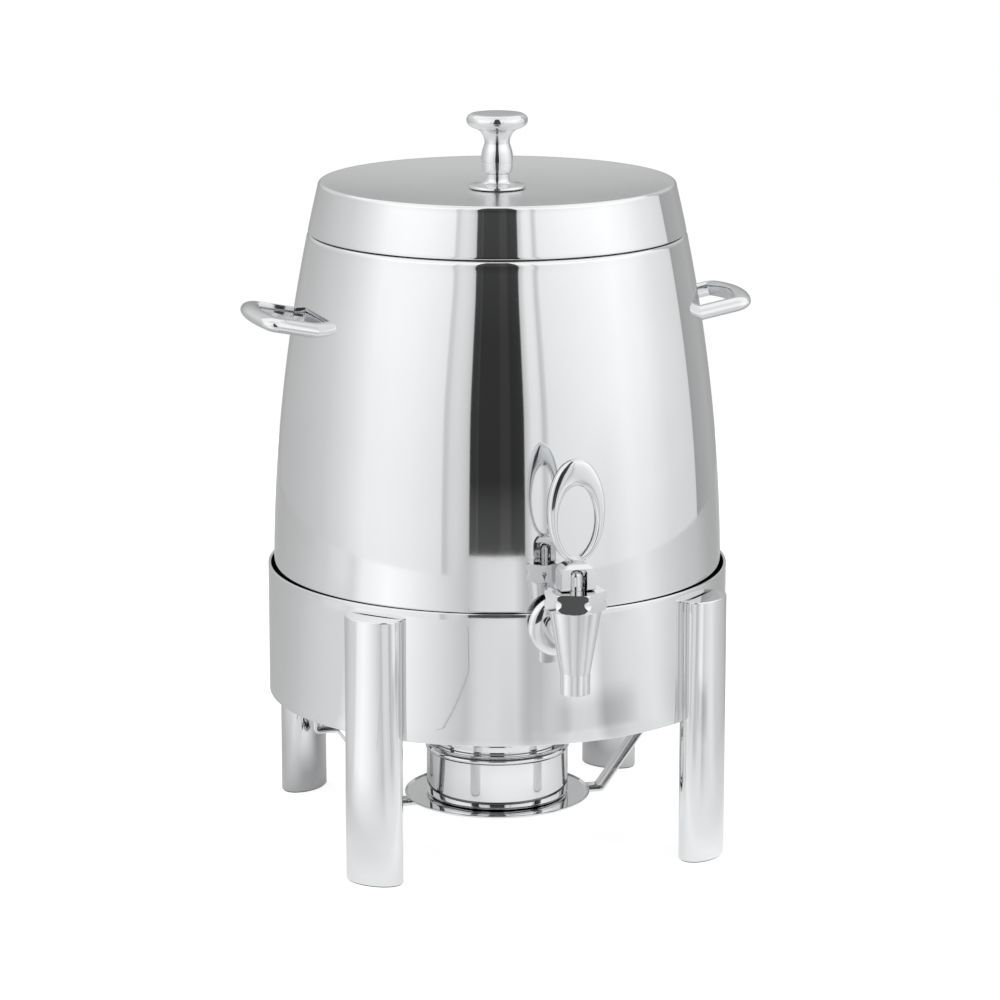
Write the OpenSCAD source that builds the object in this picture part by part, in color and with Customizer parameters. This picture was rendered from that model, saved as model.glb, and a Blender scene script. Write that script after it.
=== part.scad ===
// Coffee urn on a four-legged stand, with a lever tap, a lift-off lid and a fuel burner below.
// The origin is on the table under the urn's axis. +Z is up and the tap faces -Y.

/* [Stand] */
// Outside diameter of the collar that the urn stands in
collar_d = 292; // [284:1:300]
// Depth of the collar's band
collar_h = 83; // [76:1:90]
// Sheet thickness of the collar
collar_wall = 1.8; // [1.2:0.1:2]
// Height of the legs above the table
leg_h = 168; // [160:1:176]
// Height of the collar's rim above the tops of the legs
rim_above_legs = 6; // [4:0.5:9]
// Width of a leg, measured round the collar
leg_w = 38.5; // [34:0.5:42]
// Thickness of a leg, measured away from the collar
leg_t = 25; // [23:0.5:28]
// How far a leg stands proud of the collar
leg_out = 15.5; // [14:0.5:17]
// Wall of a leg tube
leg_wall = 1.5; // [1.2:0.1:2]
// Inside diameter of the shelf ring that carries the urn
shelf_d = 226; // [216:1:234]
// Sheet thickness of the shelf ring
shelf_t = 2; // [1.6:0.1:2.5]

/* [Burner] */
// Height of the strap's underside above the table
strap_z = 16; // [12:1:20]
// Width of the strap
strap_w = 16; // [14:1:20]
// Thickness of the strap
strap_t = 2; // [1.5:0.1:2.5]
// Diameter of the round plate under the cup
plate_d = 121; // [114:1:126]
// Diameter of the fuel cup's wall
cup_d = 91; // [86:1:96]
// Height of the fuel cup
cup_h = 34.6; // [32:0.2:40]
// Sheet thickness of the cup, its cover and its plate
cup_wall = 1; // [0.8:0.1:1.4]
// Height of the cover's neck above the cup
neck_h = 8; // [6:0.5:10]

/* [Urn] */
// Gap between the urn and the inside of the collar
urn_gap = 1.8; // [1.4:0.1:2.6]
// Sheet thickness of the urn
urn_wall = 1.2; // [1:0.1:1.6]
// Height of the lid seam above the collar's rim
seam_above_rim = 212; // [200:1:224]
// Radius of the side's long upright curve
side_r = 1100; // [1050:10:1400]
// Radius of the shoulder under the lid
shoulder_r = 4; // [3:0.5:5]
// Height of the vessel's bottom above the shelf
bottom_above_shelf = 45; // [40:1:48]

/* [Handles] */
// Height of the handles' roots below the lid seam
handle_below_seam = 52.5; // [46:0.5:58]
// Upward tilt of the handles
handle_tilt = 11; // [6:0.5:14]
// Width of the finger gap
grip_gap = 57; // [52:0.5:62]
// Length of the handle's straight arms
arm_l = 20.5; // [18:0.5:24]
// Width of the handle's rod, seen from above
rod_w = 9.8; // [9:0.1:11]
// Height of the handle's rod
rod_h = 9.3; // [8.5:0.1:10]
// Radius of the grip's inner curve
grip_r = 88; // [75:1:120]

/* [Lid] */
// Height of the lid above the seam
lid_h = 31.5; // [28:0.5:36]
// Sheet thickness of the lid
lid_wall = 1.2; // [1:0.1:1.6]
// How far the lid's top is dished
lid_dish = 5; // [4:0.5:7]
// Diameter of the knob's cap
knob_d = 38.4; // [35:0.2:42]
// Height of the knob
knob_h = 46.9; // [43:0.1:52]

/* [Tap] */
// Distance from the collar to the spout's axis
tap_reach = 40; // [37:0.5:44]
// Depth of the tap's shank below the collar's rim
tap_below_rim = 7.5; // [6:0.5:9]
// Diameter of the tap's threaded shank
shank_d = 16; // [15:0.5:17]
// Diameter of the spout's outlet
outlet_d = 17.8; // [16.5:0.1:19]
// Bore of the spout's outlet
outlet_bore = 11.4; // [10.5:0.1:12]
// Diameter of the valve chamber's wall at its top
chamber_d = 32; // [30:0.5:33]
// Bore of the valve chamber
chamber_bore = 23; // [22:0.5:24]
// Diameter of the bonnet
bonnet_d = 38; // [36:0.5:40]
// Height of the bonnet's visible ring
bonnet_h = 11.6; // [10.5:0.1:13]
// Diameter of the valve stem
stem_d = 9.4; // [8.6:0.1:9.8]
// Height of the lever's ring
ring_h = 62.8; // [58:0.2:68]
// Width of the lever's ring
ring_w = 35; // [33:0.5:38]
// Thickness of the lever's ring from front to back
ring_t = 8; // [7:0.5:9]
// Diameter of the flange against the collar
flange_d = 38; // [36:0.5:41]

/* [Hidden] */

$fn = 96;
// Overrun of every cut, past the face that it opens
cut = 1;
// Gap between pieces that are pressed, welded or screwed face to face
seat = 0.1;
// Gap between formed sheets that rest on each other
rest = 0.3;
// Radial clearance of a pin or stem in its bore
run = 0.05;

// Stand
collar_r = collar_d / 2;
collar_top = leg_h + rim_above_legs;
collar_z = collar_top - collar_h;
shelf_r = collar_r - collar_wall - seat;
shelf_top = collar_z + shelf_t;
shelf_lip = 8;
leg_axis_r = collar_r + leg_out - leg_t / 2;
ledge_z = collar_z - seat;
ledge_t = 6;
leg_cap = 2;
foot_drop = 0.6;
foot_plug_h = 9;
foot_inset = 0.8;
screw_r = 2;
screw_head_r = 3.2;
csk_h = 1;
screw_l = 12;
leg_screw_r = shelf_r - shelf_t / 2 - screw_head_r - collar_wall / 2;
hem_r = 0.5;

// Burner
tab_l = 8.6;
tab_mid = (shelf_d / 2 + shelf_r - shelf_t / 2) / 2;
tab_end = tab_mid + tab_l / 2;
tab_z = collar_z - seat - strap_t / 2;
strap_mid_z = strap_z + strap_t / 2;
strap_past_plate = 8;
strap_flat = plate_d / 2 + strap_past_plate;
strap_bend_r = 2.5;
step_l = 14.7;
step_drop = 20.9;
riser_x = tab_end - tab_l - strap_bend_r;
step_x = riser_x - step_l;
step_z = tab_z - step_drop;
plate_z = strap_z + strap_t + seat;
plate_lip = 1.4;
cup_r = cup_d / 2;
cup_z = plate_z + cup_wall + seat;
cup_top = cup_z + cup_h;
bead_r = 2;
bead_out = 0.9;
cover_gap = 0.4;
neck_in = 4.4;
flame_share = 0.5;
rivet_r = 2.5;
rivet_head_r = 5;
rivet_head_h = 1.4;
strap_screw_r = 2;

// Urn
urn_r = collar_r - collar_wall - urn_gap;
belly_share = 0.1687;
belly_z = collar_top - belly_share * collar_h;
seam_z = collar_top + seam_above_rim;
urn_foot_z = shelf_top + rest;
shoulder_x = side_x(seam_z - shoulder_r) - shoulder_r;
mouth_ledge = 2.6;
mouth_r = shoulder_x - mouth_ledge;
mouth_h = 9;
bottom_z = shelf_top + bottom_above_shelf;
bottom_flange = 8;
bottom_dish = 3;

// Handles
handle_z = seam_z - handle_below_seam;
handle_x = side_x(handle_z);
rod_edge = 0.8;
corner_r = 1.2;
corner_y = grip_gap / 2 - corner_r;
grip_a = asin(corner_y / (grip_r - corner_r));
corner_x = arm_l - corner_r;
grip_x = corner_x - (grip_r - corner_r) * cos(grip_a);

// Lid
lid_z = seam_z + rest;
lid_top = seam_z + lid_h;
lid_edge_r = 2.5;
lid_flat = 20;
lid_ring_wall = 1;
lid_ring_gap = 0.5;
lid_ring_depth = 14;
knob_z = lid_top - lid_dish + seat;
knob_screw_r = 2;

// Tap
tap_y = collar_r + tap_reach;
tap_z = collar_top - tap_below_rim;
shank_r = shank_d / 2;
shank_wall = 3;
shank_bore_r = shank_r - shank_wall;
neck_step = 2;
neck_r = shank_r + neck_step;
notch_gap = 1.5;
notch_w = shank_d + 2 * notch_gap;
flange_gap = 0.4;
flange_t = 6;
flange_y = collar_r + flange_gap;
seal_in_t = 2;
seal_in_w = 4;
seal_out_w = 1.1;
nut_h = 8;
nut_wall = 5;
nut_af = shank_d + 2 * nut_wall;
outlet_drop = 32.5;
outlet_z = tap_z - outlet_drop;
outlet_l = 13.5;
taper_z = outlet_z + outlet_l;
chamber_rise = 20;
chamber_top = tap_z + chamber_rise;
seat_rise = 16.5;
valve_seat_z = outlet_z + seat_rise;
bonnet_z = chamber_top + seat;
bonnet_top = bonnet_z + bonnet_h;
bonnet_waist = 1.3;
bonnet_plug_h = 8;
chamber_r = chamber_bore / 2;
stem_r = stem_d / 2;
stem_collar_w = 2.6;
stem_collar_r = stem_r + stem_collar_w;
stem_collar_t = 2.4;
seal_h = 5;
seat_ledge = 2;
seat_bore_r = outlet_bore / 2 + seat_ledge;
seal_gap = 0.9;
seal_r = seat_bore_r - seal_gap;
stem_tip_r = 2.4;
pin_r = 1.5;
pin_above_bonnet = 6.5;
pin_z = bonnet_top + pin_above_bonnet;
stem_above_pin = 6.2;
fork_gap = 0.4;
fork_t = 5.4;
fork_d = 15;
fork_w = stem_d + 2 * fork_gap + 2 * fork_t;
fork_corner_r = 2.5;
fork_arch_r = 9;
fork_crown = 4.3;
cam_gap = 0.3;
stem_top_gap = 1;
fork_top = pin_z + stem_above_pin + stem_top_gap + fork_crown;
ring_sunk = 1.2;
ring_z = fork_top - ring_sunk;
hole_w_share = 0.68;
hole_h_share = 0.693;
hole_low_share = 0.098;
spring_wire = 1;
spring_turns = 6;
spring_gap = 1.6;
spring_r = stem_r + spring_gap;
spring_low = valve_seat_z + seat + seal_h + stem_collar_t + seat;
spring_high = bonnet_z - bonnet_plug_h - seat;

// Places of the legs round the stand, from the front by way of the right side
leg_angles = [-45, 45, -135, 135];

// Outline of the knob as shares of its cap's radius and of its height, from the base up
knob_shares = [[0.885, 0], [0.943, 0.013], [0.943, 0.03], [0.9, 0.045], [0.625, 0.058], [0.474, 0.081],
    [0.422, 0.119], [0.411, 0.158], [0.422, 0.196], [0.484, 0.22], [0.516, 0.264], [0.526, 0.328],
    [0.521, 0.414], [0.49, 0.499], [0.432, 0.574], [0.411, 0.616], [0.4375, 0.678], [0.521, 0.744],
    [0.651, 0.789], [0.807, 0.814], [0.927, 0.846], [1, 0.9], [0.974, 0.953], [0.885, 0.987],
    [0.729, 0.998], [0, 1]];

// Points of a circular arc
function arc(x, y, r, a0, a1, n) = [for (i = [0:n]) let (a = a0 + (a1 - a0) * i / n) [x + r * cos(a), y + r * sin(a)]];

// Radius of the urn's outside at a height: one long arc, widest at the belly
function side_x(z) = urn_r - side_r + sqrt(side_r * side_r - (z - belly_z) * (z - belly_z));

// Points up the urn's side, moved out by off
function side(z0, z1, off, n) = [for (i = [0:n]) let (z = z0 + (z1 - z0) * i / n) [side_x(z) + off, z]];

// Points of an oval with half axes a and b
function oval(a, b, n) = [for (i = [0:n - 1]) let (t = 360 * i / n) [a * cos(t), b * sin(t)]];

// One point of the smooth curve through four points, at share t between the middle two
function blend(a, b, c, d, t) = ((2 * b) + (c - a) * t + (2 * a - 5 * b + 4 * c - d) * t * t
    + (3 * b - a - 3 * c + d) * t * t * t) / 2;

// Smooth curve through a list of points, n steps between two of them
function smooth(p, n) = let (e = len(p) - 1) concat([for (i = [0:e - 1]) for (j = [0:n - 1])
    blend(p[max(i - 1, 0)], p[i], p[i + 1], p[min(i + 2, e)], j / n)], [p[e]]);

// Unit vector square to the step from a to b
function across(a, b) = let (d = b - a) [-d[1], d[0]] / norm(d);

// Both sides of a strip of thickness t along the points p
function edge(p, s) = [for (i = [0:len(p) - 1]) let (u = across(p[max(i - 1, 0)], p[max(i, 1)]),
    v = across(p[min(i, len(p) - 2)], p[min(i + 1, len(p) - 1)]), m = (u + v) / norm(u + v))
    p[i] + m * s / (m * u)];
function strip(p, t) = concat(edge(p, t / 2), [for (q = [len(p) - 1:-1:0]) edge(p, -t / 2)[q]]);

// A closed band of faces round the rings of a swept solid, n rings of m points
function ring_faces(n, m) = [for (i = [0:n - 1]) for (j = [0:m - 1]) let (k = (i + 1) % n, l = (j + 1) % m)
    for (f = [[i * m + j, k * m + l, k * m + j], [i * m + j, i * m + l, k * m + l]]) f];

// Faces of an open tube with capped ends, n rings of m points
function tube_faces(n, m) = concat([[for (j = [m - 1:-1:0]) j]],
    [for (i = [0:n - 2]) for (j = [0:m - 1]) let (k = i + 1, l = (j + 1) % m)
        for (f = [[i * m + j, k * m + l, k * m + j], [i * m + j, i * m + l, k * m + l]]) f],
    [[for (j = [0:m - 1]) (n - 1) * m + j]]);

// Turns a piece that is drawn along +Z to lie along -Y at the tap's shank
module along_shank(y) {
    translate([0, -y, tap_z]) rotate([90, 0, 0]) children();
}

// Places a piece at each leg
module at_leg(a) {
    rotate(a) translate([0, -leg_axis_r, 0]) children();
}

// Places a piece at the root of a handle, with +X outward and tilted up
module at_handle(turn) {
    rotate(turn) translate([handle_x, 0, handle_z]) rotate([0, -handle_tilt, 0]) children();
}

// Stand: collar band with rolled edges and the open notch for the tap's shank
module collar() {
    color("silver") difference() {
        rotate_extrude() polygon(concat(
            arc(collar_r - collar_wall + hem_r, collar_z + hem_r, hem_r, 180, 270, 4),
            arc(collar_r - hem_r, collar_z + hem_r, hem_r, 270, 360, 4),
            arc(collar_r - hem_r, collar_top - hem_r, hem_r, 0, 90, 4),
            arc(collar_r - collar_wall + hem_r, collar_top - hem_r, hem_r, 90, 180, 4)));
        along_shank(collar_r - collar_wall - cut) cylinder(d = notch_w, h = collar_wall + 2 * cut);
        translate([-notch_w / 2, -collar_r - cut, tap_z])
            cube([notch_w, collar_wall + 3 * cut, tap_below_rim + cut]);
    }
}

// Stand: angle ring inside the collar, which carries the urn's foot
module shelf_ring() {
    shelf_in = shelf_d / 2;
    color("silver") difference() {
        rotate_extrude() polygon([[shelf_in, collar_z], [shelf_r, collar_z], [shelf_r, shelf_top + shelf_lip],
            [shelf_r - shelf_t / 2, shelf_top + shelf_lip], [shelf_r - shelf_t / 2, shelf_top],
            [shelf_in, shelf_top]]);
        for (a = leg_angles) rotate(a) translate([0, -leg_screw_r, shelf_top]) rotate_extrude()
            polygon([[0, -shelf_t - cut], [screw_r + run, -shelf_t - cut], [screw_r + run, -csk_h],
                [screw_head_r + run, 0], [screw_head_r + run, cut], [0, cut]]);
        for (s = [-1, 1]) translate([s * tab_mid, 0, collar_z - cut])
            cylinder(r = strap_screw_r + run, h = shelf_t + 2 * cut);
    }
}

// Legs: oval tubes with a closed top, notched to clasp the collar and drilled for a screw
module leg(a) {
    color("silver") difference() {
        at_leg(a) translate([0, 0, foot_drop]) linear_extrude(leg_h - foot_drop)
            polygon(oval(leg_w / 2, leg_t / 2, 48));
        translate([0, 0, ledge_z]) cylinder(r = collar_r + seat, h = leg_h);
        difference() {
            at_leg(a) translate([0, 0, -cut]) linear_extrude(leg_h - leg_cap + cut)
                polygon(oval(leg_w / 2 - leg_wall, leg_t / 2 - leg_wall, 48));
            translate([0, 0, ledge_z - ledge_t]) cylinder(r = collar_r + seat + leg_wall, h = leg_h);
        }
        rotate(a) translate([0, -leg_screw_r, shelf_top - screw_l - cut])
            cylinder(r = screw_r + run, h = screw_l + cut);
    }
}

// Feet: nylon plugs pressed into the open ends of the legs
module foot(a) {
    color("dimgray") at_leg(a) {
        linear_extrude(foot_drop - seat / 2) polygon(oval(leg_w / 2 - foot_inset, leg_t / 2 - foot_inset, 48));
        linear_extrude(foot_plug_h)
            polygon(oval(leg_w / 2 - leg_wall - seat, leg_t / 2 - leg_wall - seat, 48));
    }
}

// Countersunk screws that hold the legs to the shelf ring
module leg_screws() {
    color("gray") for (a = leg_angles) rotate(a) translate([0, -leg_screw_r, shelf_top]) rotate_extrude()
        polygon([[0, -screw_l], [screw_r, -screw_l], [screw_r, -csk_h + run], [screw_head_r - 2 * run, -run],
            [0, -run]]);
}

// Burner strap: flat bar bent up at both sides, with a level step and a tab under the shelf ring
module burner_strap() {
    r = strap_bend_r;
    rise = atan2(step_z - strap_mid_z, step_x - strap_flat);
    half = concat(arc(strap_flat - r * tan(rise / 2), strap_mid_z + r, r, 270, 270 + rise, 5),
        arc(step_x + r * tan(rise / 2), step_z - r, r, 90 + rise, 90, 5),
        arc(riser_x - r, step_z + r, r, 270, 360, 5),
        arc(riser_x + r, tab_z - r, r, 180, 90, 5), [[tab_end, tab_z]]);
    bar = concat([for (i = [len(half) - 1:-1:0]) [-half[i][0], half[i][1]]], half);
    color("silver") difference() {
        translate([0, strap_w / 2, 0]) rotate([90, 0, 0]) linear_extrude(strap_w) polygon(strip(bar, strap_t));
        translate([0, 0, strap_z - cut]) cylinder(r = rivet_r + run, h = strap_t + 2 * cut);
        for (s = [-1, 1]) translate([s * tab_mid, 0, tab_z - strap_t / 2 - cut])
            cylinder(r = strap_screw_r + run, h = strap_t + 2 * cut);
    }
}

// Screws and hexagon nuts that hold the strap's tabs under the shelf ring
module strap_screws() {
    head_h = 1.4 * strap_screw_r / 2;
    nut_t = 1.6 * strap_screw_r;
    color("gray") for (s = [-1, 1]) translate([s * tab_mid, 0, 0]) {
        translate([0, 0, shelf_top + seat]) cylinder(r = 2 * strap_screw_r, h = head_h);
        translate([0, 0, tab_z - strap_t / 2 - 1.5 * nut_t])
            cylinder(r = strap_screw_r, h = shelf_top + seat - tab_z + strap_t / 2 + 1.5 * nut_t);
        difference() {
            translate([0, 0, tab_z - strap_t / 2 - seat - nut_t])
                cylinder(r = 2 * strap_screw_r, h = nut_t, $fn = 6);
            translate([0, 0, tab_z - strap_t / 2 - seat - nut_t - cut])
                cylinder(r = strap_screw_r / 2, h = nut_t + 2 * cut);
        }
    }
}

// Burner plate: shallow saucer with a turned-up edge
module burner_plate() {
    edge_x = plate_d / 2;
    lip_r = cup_wall / 2;
    color("silver") rotate_extrude() polygon(concat(
        [[rivet_r + run, plate_z], [edge_x - 2 * plate_lip, plate_z]],
        arc(edge_x - lip_r, plate_z + plate_lip + lip_r, lip_r, -70, 110, 8),
        [[edge_x - 2.4 * plate_lip, plate_z + cup_wall], [rivet_r + run, plate_z + cup_wall]]));
}

// Rivet that holds the cup and its plate to the strap
module burner_rivet() {
    low = strap_z - seat - rivet_head_h;
    high = cup_z + cup_wall + seat + rivet_head_h;
    color("gray") rotate_extrude() polygon(concat([[0, low]],
        [[rivet_head_r * 0.7, low], [rivet_head_r, low + rivet_head_h / 2], [rivet_head_r, low + rivet_head_h],
        [rivet_r, low + rivet_head_h], [rivet_r, high - rivet_head_h], [rivet_head_r, high - rivet_head_h],
        [rivet_head_r, high - rivet_head_h / 2], [rivet_head_r * 0.7, high], [0, high]]));
}

// Fuel cup: drawn cup with a bead below its rim
module fuel_cup() {
    base_r = 2.5 * cup_wall;
    bead_z = cup_top - bead_r - cup_wall / 2;
    color("silver") rotate_extrude() polygon(concat(
        [[rivet_r + run, cup_z]],
        arc(cup_r - base_r, cup_z + base_r, base_r, 270, 360, 8),
        [[cup_r, bead_z - bead_r]],
        [for (i = [1:7]) [cup_r + bead_out * sin(180 * i / 8), bead_z - bead_r + 2 * bead_r * i / 8]],
        [[cup_r, bead_z + bead_r], [cup_r, cup_top], [cup_r - cup_wall, cup_top],
        [cup_r - cup_wall, cup_z + base_r]],
        arc(cup_r - base_r, cup_z + base_r, base_r - cup_wall, 360, 270, 6),
        [[rivet_r + run, cup_z + cup_wall]]));
}

// Burner cover: stepped ring that rests on the cup's rim and leaves the flame's opening
module burner_cover() {
    skirt_r = cup_r - cup_wall - cover_gap;
    neck_x = cup_r - neck_in;
    z = cup_top + rest;
    round_r = 2.5 * cup_wall;
    flame_r = neck_x * flame_share;
    color("silver") rotate_extrude() polygon(concat(
        [[skirt_r - cup_wall, z - neck_h], [skirt_r, z - neck_h], [skirt_r, z], [cup_r + cup_wall / 2, z],
        [cup_r + cup_wall / 2, z + cup_wall], [neck_x, z + cup_wall]],
        arc(neck_x - round_r, z + neck_h - round_r, round_r, 0, 90, 6),
        [[flame_r, z + neck_h], [flame_r, z + neck_h - cup_wall]],
        arc(neck_x - round_r, z + neck_h - round_r, round_r - cup_wall, 90, 0, 6),
        [[neck_x - cup_wall, z], [skirt_r - cup_wall, z]]));
}

// Shape of the urn's outside, grown by off, for cutting what meets it
module urn_outside(off) {
    rotate_extrude() polygon(concat([[0, urn_foot_z]], side(urn_foot_z, seam_z, off, 24), [[0, seam_z]]));
}

// Urn shell: one drawn wall from the foot to the shoulder, the ledge and the upright mouth
module urn_shell() {
    in_r = shoulder_r - urn_wall;
    turn_z = seam_z - shoulder_r;
    top = seam_z + mouth_h;
    color("silver") difference() {
        rotate_extrude() polygon(concat(
            side(urn_foot_z, turn_z, 0, 30),
            arc(shoulder_x, turn_z, shoulder_r, 12, 90, 7),
            [[mouth_r, seam_z], [mouth_r, top], [mouth_r - urn_wall, top],
            [mouth_r - urn_wall, seam_z - urn_wall]],
            arc(shoulder_x, turn_z, in_r, 90, 12, 7),
            side(turn_z, urn_foot_z, -urn_wall, 30)));
        along_shank(urn_r - urn_wall - 2 * cut) cylinder(r = shank_r + rest, h = urn_wall + 4 * cut);
    }
}

// Vessel bottom: dished disc with an upturned flange, welded inside the shell
module urn_bottom() {
    r0 = side_x(bottom_z) - urn_wall - seat;
    r1 = side_x(bottom_z + bottom_flange) - urn_wall - seat;
    corner = 3 * urn_wall;
    color("silver") rotate_extrude() polygon(concat(
        [[0, bottom_z - bottom_dish]],
        [for (i = [1:10]) [(r0 - corner) * i / 10, bottom_z - bottom_dish * (1 - i * i / 100)]],
        arc(r0 - corner, bottom_z + corner, corner, 285, 360, 6),
        [[r1, bottom_z + bottom_flange], [r1 - urn_wall, bottom_z + bottom_flange]],
        arc(r0 - corner, bottom_z + corner, corner - urn_wall, 360, 285, 6),
        [for (i = [10:-1:0]) [(r0 - corner) * i / 10, bottom_z + urn_wall - bottom_dish * (1 - i * i / 100)]]));
}

// Section of a handle's rod: flat towards the fingers and round outside, from x = 0 to rod_w
rod_section = concat([[0, -rod_h / 2 + rod_edge], [rod_edge, -rod_h / 2]],
    [for (i = [1:13]) let (t = -90 + 180 * i / 14) [rod_edge + (rod_w - rod_edge) * cos(t), rod_h / 2 * sin(t)]],
    [[rod_edge, rod_h / 2], [0, rod_h / 2 - rod_edge]]);

// Stations of a handle's inner line, each as centre x, centre y, radius and angle
function handle_half(s) = [for (i = [0:7]) [corner_x, s * corner_y, corner_r, s * (grip_a + (90 - grip_a) * i / 7)]];
handle_path = concat([[-arm_l / 2, -corner_y, corner_r, -90]],
    [for (i = [7:-1:0]) handle_half(-1)[i]],
    [for (i = [1:15]) [grip_x, 0, grip_r, -grip_a + grip_a * i / 8]],
    handle_half(1), [[-arm_l / 2, corner_y, corner_r, 90]]);

// Handle: D-shaped rod bent into two straight arms and a bowed grip, welded to the urn
module handle(turn) {
    rings = [for (w = handle_path) for (q = rod_section)
        [w[0] + (w[2] + q[0]) * cos(w[3]), w[1] + (w[2] + q[0]) * sin(w[3]), q[1]]];
    color("silver") difference() {
        at_handle(turn) polyhedron(rings, tube_faces(len(handle_path), len(rod_section)));
        urn_outside(seat);
    }
}

// Lid shell: skirt on the urn's own curve, rounded edge and a dished top
module lid_shell() {
    bend_z = lid_top - lid_edge_r;
    edge_x = side_x(bend_z) - lid_edge_r;
    dish_r = edge_x - lid_flat;
    color("silver") rotate_extrude() polygon(concat(
        [[side_x(lid_z) - lid_wall, lid_z]],
        side(lid_z, bend_z, 0, 8),
        arc(edge_x, bend_z, lid_edge_r, 10, 90, 6),
        [for (i = [1:10]) let (s = 1 - i / 10) [lid_flat + dish_r * s, lid_top - lid_dish * (1 - s * s)]],
        [[knob_screw_r + run, lid_top - lid_dish], [knob_screw_r + run, lid_top - lid_dish - lid_wall]],
        [for (i = [10:-1:1]) let (s = 1 - i / 10) [lid_flat + dish_r * s, lid_top - lid_wall - lid_dish * (1 - s * s)]],
        arc(edge_x, bend_z, lid_edge_r - lid_wall, 90, 10, 6),
        side(bend_z, lid_z, -lid_wall, 8)));
}

// Lid ring: welded inside the skirt, it rests on the urn's mouth and locates the lid
module lid_ring() {
    z = seam_z + mouth_h + rest;
    out_x = side_x(z + lid_ring_wall) - lid_wall - seat;
    in_x = mouth_r - urn_wall - lid_ring_gap;
    color("silver") rotate_extrude() polygon([[out_x, z], [out_x, z + lid_ring_wall],
        [in_x - lid_ring_wall, z + lid_ring_wall], [in_x - lid_ring_wall, z - lid_ring_depth],
        [in_x, z - lid_ring_depth], [in_x, z]]);
}

// Knob: turned baluster with a mushroom cap
module knob() {
    color("silver") difference() {
        translate([0, 0, knob_z]) rotate_extrude() polygon(concat([[0, 0]],
            [for (q = smooth(knob_shares, 3)) [max(q[0], 0) * knob_d / 2, max(q[1], 0) * knob_h]]));
        translate([0, 0, knob_z - cut]) cylinder(r = knob_screw_r + run, h = knob_h / 4 + cut);
    }
}

// Knob screw, driven from under the lid
module knob_screw() {
    head_r = 2 * knob_screw_r;
    head_h = 1.4 * knob_screw_r;
    z = lid_top - lid_dish - lid_wall - seat;
    color("gray") rotate_extrude() polygon([[0, z - head_h], [head_r, z - head_h], [head_r, z], [knob_screw_r, z],
        [knob_screw_r, knob_z + knob_h / 5], [0, knob_z + knob_h / 5]]);
}

// Tap body: conical valve chamber and outlet, with its neck and threaded shank
module tap_body() {
    nut_y = shank_in_y();
    color("silver") difference() {
        union() {
            translate([0, -tap_y, 0]) rotate_extrude() polygon([[0, outlet_z], [outlet_d / 2 - seat, outlet_z],
                [outlet_d / 2, outlet_z + rest], [outlet_d / 2 + rest, taper_z], [chamber_d / 2, chamber_top],
                [0, chamber_top]]);
            along_shank(flange_y + flange_t + seat) cylinder(r = neck_r, h = tap_reach - flange_t - flange_gap - seat);
            along_shank(nut_y) cylinder(r = shank_r, h = tap_y - nut_y);
        }
        translate([0, -tap_y, outlet_z - cut]) cylinder(d = outlet_bore, h = valve_seat_z - outlet_z + 2 * cut);
        translate([0, -tap_y, 0]) rotate_extrude() polygon([[0, valve_seat_z], [seat_bore_r, valve_seat_z],
            [chamber_r, chamber_top - bonnet_plug_h - 2 * seat], [chamber_r, chamber_top + cut],
            [0, chamber_top + cut]]);
        along_shank(nut_y - cut) cylinder(r = shank_bore_r, h = tap_y - nut_y);
    }
}

// Inner end of the shank: a little past its nut
function shank_in_y() = side_x(tap_z) - urn_wall - seal_in_t - nut_h - 2 * seal_in_t;

// Bonnet: waisted ring screwed into the chamber, bored for the stem
module tap_bonnet() {
    r = bonnet_d / 2;
    edge_r = bonnet_h / 12;
    color("silver") translate([0, -tap_y, 0]) rotate_extrude() polygon(concat(
        [[stem_r + run, bonnet_z - bonnet_plug_h], [chamber_r - run, bonnet_z - bonnet_plug_h],
        [chamber_r - run, bonnet_z]],
        arc(r - edge_r, bonnet_z + edge_r, edge_r, 270, 360, 4),
        [for (i = [1:9]) let (s = i / 10) [r - bonnet_waist * sin(180 * s), bonnet_z + bonnet_h * (0.15 + 0.7 * s)]],
        arc(r - edge_r, bonnet_top - edge_r, edge_r, 0, 90, 4),
        [[stem_r + run, bonnet_top]]));
}

// Valve stem: domed rod with a spring collar and the tip that holds the seal
module valve_stem() {
    z0 = valve_seat_z + seat + seal_h;
    z1 = pin_z + stem_above_pin;
    dome = stem_r * 0.9;
    color("silver") difference() {
        translate([0, -tap_y, 0]) rotate_extrude() polygon(concat(
            [[0, z0 - seal_h * 0.8], [stem_tip_r, z0 - seal_h * 0.8], [stem_tip_r, z0], [stem_collar_r, z0],
            [stem_collar_r, z0 + stem_collar_t], [stem_r, z0 + stem_collar_t]],
            [for (i = [0:8]) let (t = 90 * i / 8) [stem_r * cos(t), z1 - dome + dome * sin(t)]]));
        translate([-fork_w, -tap_y, pin_z]) rotate([0, 90, 0]) cylinder(r = pin_r + run, h = 2 * fork_w);
    }
}

// Seat seal: silicone plug on the stem's tip that closes the outlet
module seat_seal() {
    z0 = valve_seat_z + seat;
    color("dimgray") translate([0, -tap_y, 0]) rotate_extrude() polygon([[0, z0], [seal_r, z0],
        [seal_r, z0 + seal_h - seat], [stem_tip_r + seat, z0 + seal_h - seat],
        [stem_tip_r + seat, z0 + seal_h * 0.15], [0, z0 + seal_h * 0.15]]);
}

// Valve spring: round wire coil between the stem's collar and the bonnet
module valve_spring() {
    sides = 6;
    steps = 10 * spring_turns;
    low = spring_low + spring_wire / 2;
    high = spring_high - spring_wire / 2;
    rings = [for (i = [0:steps]) let (t = 360 * spring_turns * i / steps, z = low + (high - low) * i / steps)
        for (j = [0:sides - 1]) let (u = 360 * j / sides, r = spring_r + spring_wire / 2 * cos(u))
            [r * cos(t), r * sin(t), z + spring_wire / 2 * sin(u)]];
    color("gray") translate([0, -tap_y, 0]) polyhedron(rings, tube_faces(steps + 1, sides));
}

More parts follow.
